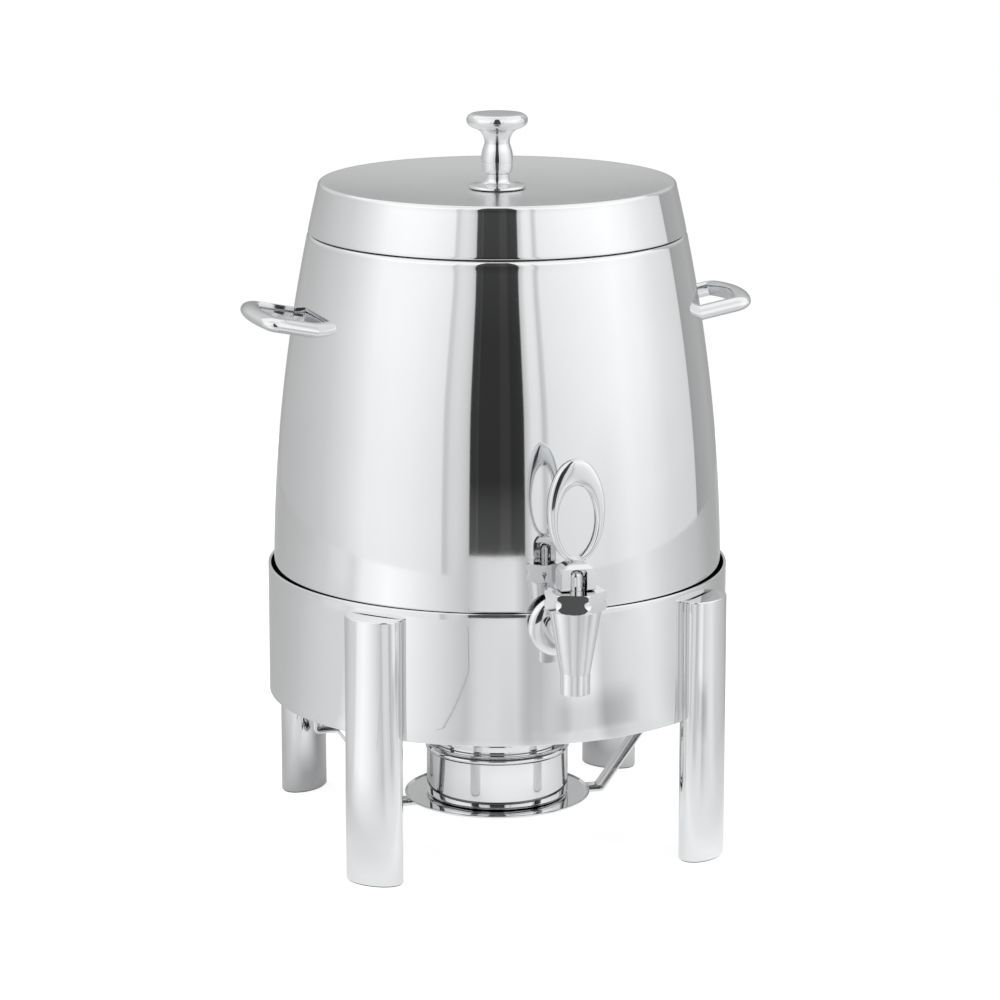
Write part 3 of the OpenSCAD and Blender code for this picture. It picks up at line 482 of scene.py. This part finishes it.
def lid_knob():
    """Turned baluster: two Catmull-Rom curves through the radius at each height, as shares of the knob's own, with a
    crease where they meet, and a fine line cut round the swelling."""
    foot = [[0.885, 0], [0.943, 0.013], [0.943, 0.03], [0.9, 0.045], [0.625, 0.058], [0.474, 0.081], [0.422, 0.119],
            [0.411, 0.158], [0.422, 0.196], [0.478, 0.216]]
    rise = [[0.478, 0.216], [0.516, 0.264], [0.526, 0.328], [0.521, 0.414], [0.49, 0.499], [0.432, 0.574],
            [0.411, 0.616], [0.4375, 0.678], [0.521, 0.744], [0.651, 0.789], [0.807, 0.814], [0.927, 0.846],
            [1, 0.9], [0.974, 0.953], [0.885, 0.987], [0.729, 0.998], [0, 1]]
    line_share, line_w, floor_w, depth = 0.343, 0.7, 0.2, 0.22
    p = join(smooth(foot, 8), smooth(rise, 10))
    r, z = np.maximum(p[:, 0], 0) * KNOB_R, KNOB_Z + p[:, 1] * KNOB_H
    line = KNOB_Z + line_share * KNOB_H + np.array([-line_w, -floor_w, floor_w, line_w]) / 2
    cut = np.stack([np.interp(line, z, r) - [0, depth, depth, 0], line], axis=1)
    outline = np.stack([r, z], axis=1)
    outline = join([[0, KNOB_Z]], outline[z < line[0]], cut, outline[z > line[-1]])
    return turned("lid_knob", outline, closed=False, steps=SMALL)


# ---- Tap ----

def tap_casting():
    """Valve chamber turned about the spout's axis, and a neck and shank about the shank's axis. Both ends of the neck's
    profile lie on the middle of the chamber's wall: the root of wall radius squared minus distance from the middle
    plane squared."""
    taper_r, taper_z = 9.15, OUTLET_Z + OUTLET_L
    seat_bore_r, plug_end = 7.7, 178.3
    start = (OUTLET_BORE_R, 142, 0)
    outline = rounded([
        start, (OUTLET_BORE_R, OUTLET_Z, 0.5), (OUTLET_R, OUTLET_Z, 0.6), (taper_r, taper_z, 4),
        (CHAMBER_R, CHAMBER_TOP, 0.5), (CHAMBER_BORE_R, CHAMBER_TOP, 0.3), (CHAMBER_BORE_R, plug_end, 0.3),
        (seat_bore_r, VALVE_SEAT_Z, 0.4), (OUTLET_BORE_R, VALVE_SEAT_Z, 0.3), start], n=6, margin=0.4)
    chamber = turned("chamber", outline[:-1], steps=SMALL, centre_y=TAP_Y)

    # Radius and distance from the urn's axis along the neck; the first and last row then move onto the wall
    flange_end = FLANGE_Y + FLANGE_T + SEAT
    r, out = np.array([
        (SHANK_BORE_R, 0), (SHANK_BORE_R, 150), (SHANK_BORE_R, SHANK_END), (SHANK_R - 0.5, SHANK_END),
        (SHANK_R, SHANK_END + 0.5), (SHANK_R, flange_end - 1), (SHANK_R, flange_end), (NECK_R - 0.4, flange_end),
        (NECK_R, flange_end + 0.4), (NECK_R, flange_end + 4), (NECK_R, 168), (NECK_R, 0)]).T[:, :, None]
    a = np.radians(np.linspace(0, 360, 96, endpoint=False))[None, :]
    x, y, z = r * np.cos(a), -out + 0 * a, TAP_Z + r * np.sin(a)
    # The chamber's wall where the neck meets it: outer radius at the taper's start, growth up to the top, half wall
    wall_r, growth, half_wall = 9.2, 6.8, 1.3
    ends = [0, -1]
    wall_mid = wall_r + (z[ends] - taper_z) * growth / (CHAMBER_TOP - taper_z) - half_wall
    y[ends] = TAP_Y + np.sqrt(wall_mid ** 2 - x[ends] ** 2)
    neck = skin("neck", np.stack([x, y, z], axis=-1), rows_wrap=True, sharp=40)
    return joined("tap_casting", [chamber, neck])


def bonnet_ring():
    """Bonnet: plug, shoulder, and a hexagon nut. The nut is a turned shape, rounded at both ends and waisted by a
    sine of the height, cut by six flats: its radius is the least of the turned one and the flat's distance over the
    cosine of the angle from the flat's middle. The flats lean in a little toward the top."""
    round_w, round_h, waist_in, bore_soft = 2.3, 2.8, 1.2, 0.45
    r, z0, z1 = BONNET_R, BONNET_Z, BONNET_Z + BONNET_H
    bore_r, plug_r = STEM_R + RUN, CHAMBER_BORE_R - RUN
    s = np.linspace(0, 1, 25)
    waist = np.stack([r - waist_in * np.sin(np.pi * s), z0 + round_h + (BONNET_H - 2 * round_h) * s], axis=1)
    t = np.radians(np.linspace(0, 90, 13))
    low = np.stack([r - round_w + round_w * np.sin(t), z0 + round_h - round_h * np.cos(t)], axis=1)
    high = np.stack([r - round_w + round_w * np.cos(t), z1 - round_h + round_h * np.sin(t)], axis=1)
    plug = [[bore_r, z0 - PLUG_H], [plug_r, z0 - PLUG_H], [plug_r, z0 - 0.3], [11.8, z0]]
    mouth = join([[6.0, z1]], arc(bore_r + bore_soft, z1 - bore_soft, bore_soft, 90, 180, 4))
    outline = join(plug, low, waist, high, mouth)
    a = np.linspace(0, 2 * np.pi, 360, endpoint=False)[:, None]
    off = (a - np.radians(NUT_TURN) + np.pi / 6) % (np.pi / 3) - np.pi / 6
    radius, z = outline[None, :, 0], outline[None, :, 1]
    flat = NUT_FLAT - (z - (z0 + z1) / 2) * np.tan(np.radians(NUT_LEAN))
    radius = np.where(z > z0 - 0.2, np.minimum(radius, flat / np.cos(off)), radius)
    points = np.stack([radius * np.cos(a), TAP_Y + radius * np.sin(a), z + 0 * a], axis=-1)
    return skin("bonnet_ring", points, rows_wrap=True, sharp=16)


def stem_rod():
    """Stem: tip, spring collar and rod, with a domed top that is a quarter oval."""
    tip_r, tip_l, seal_h, dome_h = 2.4, 4.0, 5.0, 4.23
    z0, z1 = VALVE_SEAT_Z + SEAT + seal_h, PIN_Z + STEM_ABOVE_PIN
    t = np.radians(np.linspace(0, 90, 13))
    tip = [[0, z0 - tip_l], [tip_r, z0 - tip_l], [tip_r, z0]]
    collar = [[STEM_COLLAR_R, z0], [STEM_COLLAR_R, z0 + STEM_COLLAR_T], [STEM_R, z0 + STEM_COLLAR_T]]
    rod = [[STEM_R, 199.0], [STEM_R, 205.0]]
    dome = np.stack([STEM_R * np.cos(t), z1 - dome_h + dome_h * np.sin(t)], axis=1)
    return turned("stem_rod", join(tip, collar, rod, dome), closed=False, steps=96, centre_y=TAP_Y)


def closing_coil():
    """Valve spring: a round wire carried along a helix, which turns evenly while it rises from the stem's collar to
    the bonnet's plug."""
    wire_r, coil_r, per_turn, round_wire = 0.5, 6.3, 36, 12
    t = np.linspace(0, 1, per_turn * SPRING_TURNS + 1)[:, None]
    u = np.linspace(0, 2 * np.pi, round_wire, endpoint=False)[None, :]
    a = 2 * np.pi * SPRING_TURNS * t
    r = coil_r + wire_r * np.cos(u)
    z = SPRING_LOW + wire_r + (SPRING_HIGH - SPRING_LOW - 2 * wire_r) * t + wire_r * np.sin(u)
    points = np.stack([r * np.cos(a), TAP_Y + r * np.sin(a), z], axis=-1)
    return skin("closing_coil", points, caps=True, sharp=50)


def lever_fork():
    """Fork: an arch in front view carried from front to back. Its feet and its crown are rounded in side view: each
    is drawn in by a radius less the root of radius squared minus the square of the way past the arc's start."""
    low, ceiling = BONNET_Z + BONNET_H + REST, FORK_TOP - FORK_CROWN
    gap, half_w, depth, edge = FORK_GAP_W / 2, FORK_W / 2, FORK_D / 2, 0.5
    shoulder_r, foot_r, crown_r, crown_most = 9.0, 2.5, 6.0, 4.0
    outside = rounded([(-gap, low, 0), (-half_w, low, edge), (-half_w, FORK_TOP, shoulder_r),
                       (half_w, FORK_TOP, shoulder_r), (half_w, low, edge), (gap, low, 0)], n=14, margin=0.3)
    inside = rounded([(gap, low, 0), (gap, ceiling, 2.5), (-gap, ceiling, 2.5), (-gap, low, 0)], n=8, margin=0.3)
    arch = np.concatenate([outside, inside[1:-1]])
    end = edge * (1 - np.cos(np.radians(np.linspace(0, 90, 4))))
    y = np.concatenate([end - depth, np.linspace(1 - depth, depth - 1, 27), depth - end[::-1]])[:, None]

    def drawn_in(r):
        past = np.maximum(np.abs(y) - (depth - r), 0)
        return r - np.sqrt(np.maximum(r ** 2 - past ** 2, 0))

    z = np.clip(arch[None, :, 1], low + drawn_in(foot_r), FORK_TOP - np.minimum(drawn_in(crown_r), crown_most))
    return skin("fork", np.stack([arch[None, :, 0] + 0 * z, TAP_Y + y + 0 * z, z], axis=-1), caps=True, sharp=40)


def lever_ring():
    """Ring between an outer oval and a smaller, lower inner oval, each a half width times cosine and a half height
    times sine. The bevel gives, for a share of the way inward, the share of the thickness on each side."""
    bevel = np.array([(0, 0.2), (0.04, 0.3), (0.12, 0.38), (0.3, 0.45), (0.55, 0.49), (0.72, 0.5), (0.82, 0.47),
                      (0.93, 0.4), (1, 0.3)])
    inward, thick = np.concatenate([bevel, bevel[::-1] * (1, -1)]).T[:, None, :]
    t = np.radians(np.linspace(0, 360, 144, endpoint=False))[:, None]
    outer_x, outer_z = RING_W / 2 * np.cos(t), RING_H / 2 * np.sin(t)
    inner_x = RING_W / 2 * HOLE_W_SHARE * np.cos(t)
    inner_z = RING_H / 2 * HOLE_H_SHARE * np.sin(t) - RING_H * HOLE_LOW_SHARE
    x = outer_x + (inner_x - outer_x) * inward
    z = FORK_TOP - RING_SUNK + RING_H / 2 + outer_z + (inner_z - outer_z) * inward
    return skin("ring", np.stack([x, TAP_Y - RING_T * thick + 0 * x, z], axis=-1), rows_wrap=True, sharp=60)


def flange_washer():
    """Domed washer: a quarter oval from its rim to the neck, turned about the shank."""
    hole_r, edge, rim_share = SHANK_R + RUN, 0.3, 0.25
    t = np.radians(np.linspace(0, 90, 17))
    dome = np.stack([NECK_R + (FLANGE_R - NECK_R) * np.cos(t),
                     FLANGE_T * (rim_share + (1 - rim_share) * np.sin(t))], axis=1)
    back = [[hole_r, edge], [hole_r + edge, 0], [17.5, 0], [FLANGE_R - 0.4, 0.1]]
    outline = join(back, dome, [[8.4, FLANGE_T], [hole_r, FLANGE_T - edge]])
    outline[:, 1] += FLANGE_Y
    return on_shank(turned("flange_washer", outline, steps=SMALL))


# ---- Materials ----

def linear(code):
    """Hex sRGB colour as linear values, by the standard curve: a short straight part, then a power of 2.4."""
    c = np.array([int(code[i:i + 2], 16) for i in (0, 2, 4)]) / 255
    return (*np.where(c <= 0.04045, c / 12.92, ((c + 0.055) / 1.055) ** 2.4).tolist(), 1.0)


def add(tree, kind, settings=None, **links):
    """Adds a node of a kind to a tree, with its settings. A link names an input, with _ for each space, or gives its
    number, as _0; its value is an output socket or a plain value."""
    node = tree.nodes.new(kind)
    for key, value in (settings or {}).items():
        setattr(node, key, value)
    for key, value in links.items():
        socket = node.inputs[int(key[1:]) if key[0] == "_" else key.replace("_", " ")]
        if isinstance(value, bpy.types.NodeSocket):
            tree.links.new(value, socket)
        else:
            socket.default_value = value
    return node


def new_material(name):
    """Empty material with nodes, its output, and Object coordinates in metres."""
    material = bpy.data.materials.new(name)
    material.use_nodes = True
    tree = material.node_tree
    tree.nodes.clear()
    output = tree.nodes.new("ShaderNodeOutputMaterial")
    place = tree.nodes.new("ShaderNodeTexCoord").outputs["Object"]
    return material, tree, output, place


def steel(name, dark, light, rough, spread, cloud_mm, grain_mm, depth_mm, stretch=(1, 1, 1)):
    """Stainless steel: colour drifts between two greys in soft clouds, roughness follows fine wiping marks, and
    the marks lift the surface by up to their depth. Real marks are hundredths of a millimetre wide and are drawn
    coarser, so that they show. A mesh's own attribute named dull adds roughness where the sheet isn't buffed to a
    mirror."""
    material, tree, output, place = new_material(name)
    cloud = add(tree, "ShaderNodeTexNoise", Vector=place, Scale=1000 / cloud_mm, Detail=3.0, Roughness=0.5)
    colour = add(tree, "ShaderNodeMix", {"data_type": "RGBA"}, Factor=cloud.outputs["Fac"],
                 _6=linear(dark), _7=linear(light))
    run = add(tree, "ShaderNodeMapping", Vector=place, Scale=stretch)
    grain = add(tree, "ShaderNodeTexNoise", Vector=run.outputs["Vector"], Scale=1000 / grain_mm, Detail=4.0,
                Roughness=0.6)
    gloss = add(tree, "ShaderNodeMapRange", Value=grain.outputs["Fac"], From_Min=0.3, From_Max=0.7,
                To_Min=max(rough - spread, 0.01), To_Max=rough + spread)
    dull = add(tree, "ShaderNodeAttribute", {"attribute_name": "dull"})
    matt = add(tree, "ShaderNodeMath", {"operation": "ADD"}, _0=gloss.outputs["Result"], _1=dull.outputs["Fac"])
    bump = add(tree, "ShaderNodeBump", Height=grain.outputs["Fac"], Strength=1.0, Distance=depth_mm / 1000)
    shader = add(tree, "ShaderNodeBsdfPrincipled", Base_Color=colour.outputs[2], Metallic=1.0,
                 Roughness=matt.outputs[0], Normal=bump.outputs["Normal"])
    tree.links.new(shader.outputs[0], output.inputs[0])
    return material


def polymer(name, dark, light, rough, grain_mm, depth_mm):
    """Moulded polymer: two near greys in fine specks, with a low bump for the mould's texture."""
    material, tree, output, place = new_material(name)
    speck = add(tree, "ShaderNodeTexNoise", Vector=place, Scale=1000 / grain_mm, Detail=2.0)
    colour = add(tree, "ShaderNodeMix", {"data_type": "RGBA"}, Factor=speck.outputs["Fac"],
                 _6=linear(dark), _7=linear(light))
    bump = add(tree, "ShaderNodeBump", Height=speck.outputs["Fac"], Strength=0.6, Distance=depth_mm / 1000)
    shader = add(tree, "ShaderNodeBsdfPrincipled", Base_Color=colour.outputs[2], Roughness=rough,
                 Normal=bump.outputs["Normal"])
    tree.links.new(shader.outputs[0], output.inputs[0])
    return material


# Mirror-buffed stainless sheet: reflections keep their edges, with a breath of buffing haze
buffed_sheet = steel("mirror_buffed_stainless_sheet", "DFE0E1", "E6E7E8", rough=0.045, spread=0.008,
                     cloud_mm=60, grain_mm=2.0, depth_mm=0.00005)
# Cast and turned stainless, polished by hand on a wheel: a little softer, with broad undulation
wheel_polished = steel("wheel_polished_cast_stainless", "D9DADB", "E4E5E6", rough=0.065, spread=0.015,
                       cloud_mm=25, grain_mm=1.5, depth_mm=0.0001)
# Mill-finish sheet inside and below, and the shank's nut: greyer, with rolling marks along X
mill_finish = steel("mill_finish_stainless_sheet", "B9BABC", "C8C9CB", rough=0.28, spread=0.06,
                    cloud_mm=30, grain_mm=0.8, depth_mm=0.002, stretch=(1, 6, 6))
# Plain stainless screws, nuts, rivet, pin and spring: cold-formed and a little dull
cold_formed = steel("cold_formed_stainless_fixings", "9C9DA0", "B4B5B8", rough=0.34, spread=0.08,
                    cloud_mm=4, grain_mm=0.5, depth_mm=0.004)
# Food-grade silicone seals: translucent-looking grey with a dry bloom
silicone = polymer("pressed_food_grade_silicone", "3B3C3E", "47484A", rough=0.55, grain_mm=0.6, depth_mm=0.01)
# Injection-moulded nylon feet: black with a fine matt spark-eroded texture
nylon = polymer("injection_moulded_black_nylon", "131314", "1D1D1F", rough=0.6, grain_mm=0.4, depth_mm=0.02)


# ---- Pieces on the frame ----

def dress(obj, body, slot, material, *nodes):
    """Gives a piece its material, the body that it rides on, and the CAD nodes that it replaces; its slot is not used.
    """
    obj.data.materials.clear()
    obj.data.materials.append(material)
    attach(obj, body)
    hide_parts(*nodes)


dress(collar_band(), "stand", "polished_steel", buffed_sheet, "collar")
for corner, degrees in (("front_left", -45), ("front_right", 45), ("rear_left", -135), ("rear_right", 135)):
    dress(leg_tube("tube_" + corner, degrees), "stand", "polished_steel", buffed_sheet, "leg_" + corner)
dress(burner_saucer(), "stand", "polished_steel", buffed_sheet, "burner_plate")
dress(fuel_cup_wall(), "stand", "polished_steel", buffed_sheet, "fuel_cup")
dress(strap_bar(), "stand", "satin_steel", buffed_sheet, "burner_strap")
dress(burner_ring(), "cover", "polished_steel", buffed_sheet, "burner_cover")
dress(urn_wall(), "urn", "polished_steel", buffed_sheet, "urn_shell")
dress(grip("grip_right", 0), "urn", "polished_steel", wheel_polished, "handle_right")
dress(grip("grip_left", 180), "urn", "polished_steel", wheel_polished, "handle_left")
dress(tap_casting(), "urn", "polished_steel", wheel_polished, "tap_body")
dress(bonnet_ring(), "urn", "polished_steel", wheel_polished, "tap_bonnet")
dress(flange_washer(), "urn", "polished_steel", wheel_polished, "tap_flange")
dress(stem_rod(), "valve", "polished_steel", wheel_polished, "valve_stem")
pull_lever = joined("pull_lever", [lever_fork(), lever_ring()])
dress(pull_lever, "lever", "polished_steel", wheel_polished, "tap_lever")
coil = closing_coil()
dress(coil, "urn", "screw_steel", cold_formed, "valve_spring")
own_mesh(coil)
dress(lid_cover(), "lid", "polished_steel", buffed_sheet, "lid_shell")
dress(lid_knob(), "lid", "polished_steel", wheel_polished, "knob")

# CAD nodes that keep their own mesh, and what each is made of
kept = {mill_finish: ["shelf_ring", "urn_bottom", "lid_ring", "shank_nut"],
        cold_formed: ["leg_screws", "strap_screws", "burner_rivet", "knob_screw", "lever_pin"],
        silicone: ["seat_seal", "outer_seal", "inner_seal"],
        nylon: ["foot_front_left", "foot_front_right", "foot_rear_left", "foot_rear_right"]}
for material, nodes in kept.items():
    for node in nodes:
        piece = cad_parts[node]
        piece.data.materials.clear()
        piece.data.materials.append(material)


# ---- Studio ----

# Glow of the tent's cloth by the angle from the camera's side. The rows from -13.1 to 13.1 are the gap where the
# camera stands, with the seams of two cloths beside it; past 123 the cloth behind the urn is dimmer.
TENT_GLOW = [
    (-180, 0.46), (-160, 0.54), (-150, 0.61), (-120, 0.67), (-100, 0.77), (-85, 0.92), (-70, 1.12), (-58, 1.14),
    (-45, 1.1), (-30, 1), (-27.3, 0.97), (-26.3, 0.74), (-25, 0.71), (-23, 0.84), (-20, 0.86), (-17, 0.8),
    (-15.2, 0.74), (-13.4, 0.64), (-13.1, 0.045), (-9.8, 0.05), (-9.5, 0.075), (-9, 0.04), (1, 0.04), (2, 0.052),
    (6, 0.052), (7, 0.036), (13.1, 0.042), (13.4, 0.62), (15, 0.74), (17, 0.93), (20, 0.96), (21.5, 0.9),
    (23, 0.66), (24.5, 0.74), (25.7, 0.95), (30, 0.98), (45, 1.06), (58, 1.12), (70, 1.18), (85, 1.12), (100, 0.97),
    (110, 0.92), (120, 0.86), (123, 0.84), (123.4, 0.43), (129, 0.48), (146, 0.55), (158, 0.5), (180, 0.46)]

# Light that mirrors see on the table beyond the stand, by the angle from the camera's side
TABLE_POOL = [
    (-180, 0.1), (-152, 0.07), (-140.8, 0.08), (-131, 0.115), (-118, 0.155), (-107, 0.21), (-98.7, 0.28),
    (-88, 0.35), (-74, 0.39), (-67.6, 0.66), (-54, 0.79), (-42.3, 0.68), (-24.3, 0.42), (-13.5, 0.23), (-8.1, 0.41),
    (8.1, 0.48), (13.5, 0.15), (18.9, 0.15), (30.6, 0.55), (42.3, 0.63), (47.7, 0.4), (74, 0.57), (90.5, 0.36),
    (105, 0.24), (116, 0.19), (126, 0.09), (131, 0.045), (146, 0.03), (158, 0.09), (180, 0.12)]
# The same within the stand
STAND_POOL = [(-180, 0.1), (-110, 0.2), (-60, 0.55), (0, 0.72), (60, 0.72), (110, 0.45), (180, 0.1)]
# What is added to the table's pool: toward the disc's edge, up to about halfway out, and close to the stand
POOL_AT_EDGE = [(-92, 0), (-88, 0.05), (-80, 0.1), (-72, 0), (45, 0), (57, -0.07), (64, -0.02), (72, 0)]
POOL_MIDWAY = [
    (-1, 0), (2, -0.06), (6, -0.1), (11, -0.08), (15, 0.05), (20, 0.07), (24, 0), (29, -0.1), (34, 0.06), (38, 0.07),
    (43, 0), (48, -0.16), (53, -0.11), (58, -0.04), (64, -0.05), (78, -0.04), (86, -0.08), (94, -0.03), (100, 0)]
POOL_CLOSE = [(11, 0), (15, 0.05), (20, 0.03), (24, 0), (29, 0.03), (34, -0.18), (38, -0.2), (43, -0.14), (48, 0)]


def light_tent():
    """Light tent round the urn: a cylinder of white cloth, unseen by the camera itself. Its glow is the table's value
    at an angle from the camera's side, times a share that depends on the height: one in the gap, and on the cloth one
    at the front that turns into another at the rear. Above the seam the cloth glows evenly. The gap narrows with
    height."""
    radius, low, seam, over_seam, top = 3300.0, -1400.0, 2600.0, 2605.0, 9000.0
    half_gap, glow_above = 13.2, 1.18
    a = np.union1d(np.linspace(-180, 180, 361), [angle for angle, _ in TENT_GLOW])[:, None]
    z = np.append(np.linspace(low, seam, 41), [over_seam, top])[None, :]
    gap = np.abs(a) < half_gap
    front = along(z, [(-1400, 0.86), (250, 1.0), (1000, 1.075), (1400, 1.14), (2000, 1.26), (2600, 1.33)])
    less_right = along(a, [(20, 0), (45, 0.06), (57, 0.11), (64, 0.08), (72, 0.045), (100, 0.045), (120, 0)])
    front = front - less_right * along(z, [(0, 1), (350, 0)])
    rear = along(z, [(-1400, 0.85), (100, 0.85), (450, 0.76), (650, 0.8), (900, 1.07), (1500, 1.42), (2600, 1.42)])
    in_gap = along(z, [(-300, 2.2), (-50, 1.8), (100, 0.9), (800, 1.0), (1400, 1.7)])
    rearward = along(np.abs(a), [(120, 0), (165, 1)])
    glow = along(a, TENT_GLOW) * np.where(gap, in_gap, front + rearward * (rear - front))
    glow = np.where((z >= over_seam) & ~gap, glow_above, glow)
    narrower = along(z, [(440, 0.05), (1000, -0.105)]) * along(np.abs(a), [(0, 1), (60, 0)])
    x, y = from_front(radius, a * (1 + narrower) - CAMERA_SIDE)
    faces = grid_faces(*glow.shape)[:, [0, 3, 2, 1]].tolist()
    mesh = new_mesh("light_tent", np.stack([x, y, z + 0 * a], axis=-1), faces)
    give(mesh, "glow", glow.ravel())
    material, tree, output, _ = new_material("lit_tent_cloth")
    level = add(tree, "ShaderNodeAttribute", {"attribute_name": "glow"})
    light = add(tree, "ShaderNodeEmission", Color=linear("FFFFFF"), Strength=level.outputs["Fac"])
    tree.links.new(light.outputs[0], output.inputs[0])
    mesh.materials.append(material)
    tent = show("light_tent", mesh)
    tent.visible_camera = False


def table_top():
    """Table: a flat disc of pale laminate that reaches further out toward the camera. Mirrors see soft pools of light
    on it, whose strength depends on the angle from the camera's side: one table of strengths within the stand, another
    beyond it with its corrections, and a blend between. To the camera the disc adds its own white, so that only the
    shadow shows."""
    edge, blend_from, blend_over, dip_depth, camera_white = 1250, 260, 120, 0.45, 0.8
    reach = np.array([0, 100, 180, 220, 260, 300, 340, 380, 420, 460, 500, 540, 600, 700, 800, 1000, edge])[None, :]
    a = np.linspace(-180, 180, 360, endpoint=False)[:, None]
    r = reach + (reach == edge) * along(np.abs(a), [(14, 300), (20, 0)])
    x, y = from_front(r, a - CAMERA_SIDE)
    top = skin("table_top", np.stack([x, y, 0 * x], axis=-1), rows_wrap=True, cols_wrap=False)

    x, y, _ = points_of(top.data).T * 1000
    out = np.hypot(x, y)
    seen = (np.degrees(np.arctan2(x, -y)) + CAMERA_SIDE + 180) % 360 - 180
    near = along(seen, STAND_POOL) * along(out, [(180, 1), (240, 0.75), (300, 0.8)])
    dip = along(seen, [(22, 0), (30, 1), (58, 1), (66, 0)]) * along(out, [(420, 0), (480, 1), (540, 1), (600, 0)])
    far = along(seen, TABLE_POOL) * (1 - dip_depth * dip)
    far += along(seen, POOL_AT_EDGE) * along(out, [(800, 0), (1000, 1)])
    far += along(seen, POOL_MIDWAY) * along(out, [(560, 1), (620, 0.4), (760, 0.4), (860, 0)])
    far += along(seen, POOL_CLOSE) * along(out, [(440, 1), (480, 0)])
    give(top.data, "pool", near + (far - near) * np.clip((out - blend_from) / blend_over, 0, 1))

    material, tree, output, _ = new_material("matt_white_laminate")
    ray = add(tree, "ShaderNodeLightPath")
    pool = add(tree, "ShaderNodeAttribute", {"attribute_name": "pool"})
    paint = add(tree, "ShaderNodeBsdfDiffuse", Color=linear("B4B4B4"))
    white = add(tree, "ShaderNodeMath", {"operation": "MULTIPLY"}, _0=ray.outputs["Is Camera Ray"], _1=camera_white)
    mirrored = add(tree, "ShaderNodeMath", {"operation": "MULTIPLY"}, _0=ray.outputs["Is Glossy Ray"],
                   _1=pool.outputs["Fac"])
    level = add(tree, "ShaderNodeMath", {"operation": "ADD"}, _0=white.outputs[0], _1=mirrored.outputs[0])
    glow = add(tree, "ShaderNodeEmission", Color=linear("FFFFFF"), Strength=level.outputs[0])
    both = add(tree, "ShaderNodeAddShader", _0=paint.outputs[0], _1=glow.outputs[0])
    tree.links.new(both.outputs[0], output.inputs[0])
    top.data.materials.append(material)


def painted_dark_reflection():
    """Painted dark reflection: a thin dark line, bent once, laid on the table where only mirrors see it."""
    half_w, height = 1.6, 0.5
    line = np.array([(-212, 905), (-140, 640), (-150, 604), (-171, 534), (-188, 478), (-200, 415)], dtype=float)
    step = np.gradient(line, axis=0)
    step /= np.linalg.norm(step, axis=1, keepdims=True)
    off = np.stack([step[:, 1], -step[:, 0]], axis=1) * np.array([-half_w, half_w])[:, None, None]
    right, ahead = np.moveaxis(line + off, -1, 0)
    x, y = rotated(right, -ahead, -CAMERA_SIDE)
    # Painted dark reflection: a grey strip that only mirrors see, unseen by the camera, by shadows and by diffuse light
    reflection_line = skin("painted_dark_reflection", np.stack([x, y, 0 * x + height], axis=-1), cols_wrap=False)
    material, tree, output, _ = new_material("painted_dark_reflection_grey")
    shade = add(tree, "ShaderNodeBsdfDiffuse", Color=linear("8C8C8C"))
    tree.links.new(shade.outputs[0], output.inputs[0])
    reflection_line.data.materials.append(material)
    reflection_line.visible_camera = reflection_line.visible_shadow = reflection_line.visible_diffuse = False


def white_room():
    """World: white to the camera, to mirrors and through clear pieces, and a little less as the light on the urn."""
    room_light = 0.85
    world = bpy.data.worlds.new("studio")
    bpy.context.scene.world = world
    world.use_nodes = True
    tree = world.node_tree
    tree.nodes.clear()
    ray = add(tree, "ShaderNodeLightPath")
    seen = add(tree, "ShaderNodeMath", {"operation": "MAXIMUM"}, _0=ray.outputs["Is Camera Ray"],
               _1=ray.outputs["Is Glossy Ray"])
    seen = add(tree, "ShaderNodeMath", {"operation": "MAXIMUM"}, _0=seen.outputs[0],
               _1=ray.outputs["Is Transmission Ray"])
    level = add(tree, "ShaderNodeMapRange", Value=seen.outputs[0], To_Min=room_light, To_Max=1.0)
    sky = add(tree, "ShaderNodeBackground", Color=linear("FFFFFF"), Strength=level.outputs["Result"])
    add(tree, "ShaderNodeOutputWorld", Surface=sky.outputs[0])


def photo_camera():
    """Camera at the photograph's place: about 2.6 m from the urn, to the left of the tap and above the lid."""
    data = bpy.data.cameras.new("camera")
    data.lens, data.sensor_width, data.shift_x = 147.65, 36, 0.0028
    camera = show("camera", data)
    camera.location = (-0.6395, -2.4670, 0.7892)
    camera.rotation_euler = np.radians((77.24, 0.0, -CAMERA_SIDE)).tolist()
    bpy.context.scene.camera = camera
    bpy.context.scene.view_settings.view_transform = "Standard"


light_tent()
table_top()
# Painted dark reflection line on the table, seen only in mirrors
painted_dark_reflection()
white_room()
photo_camera()
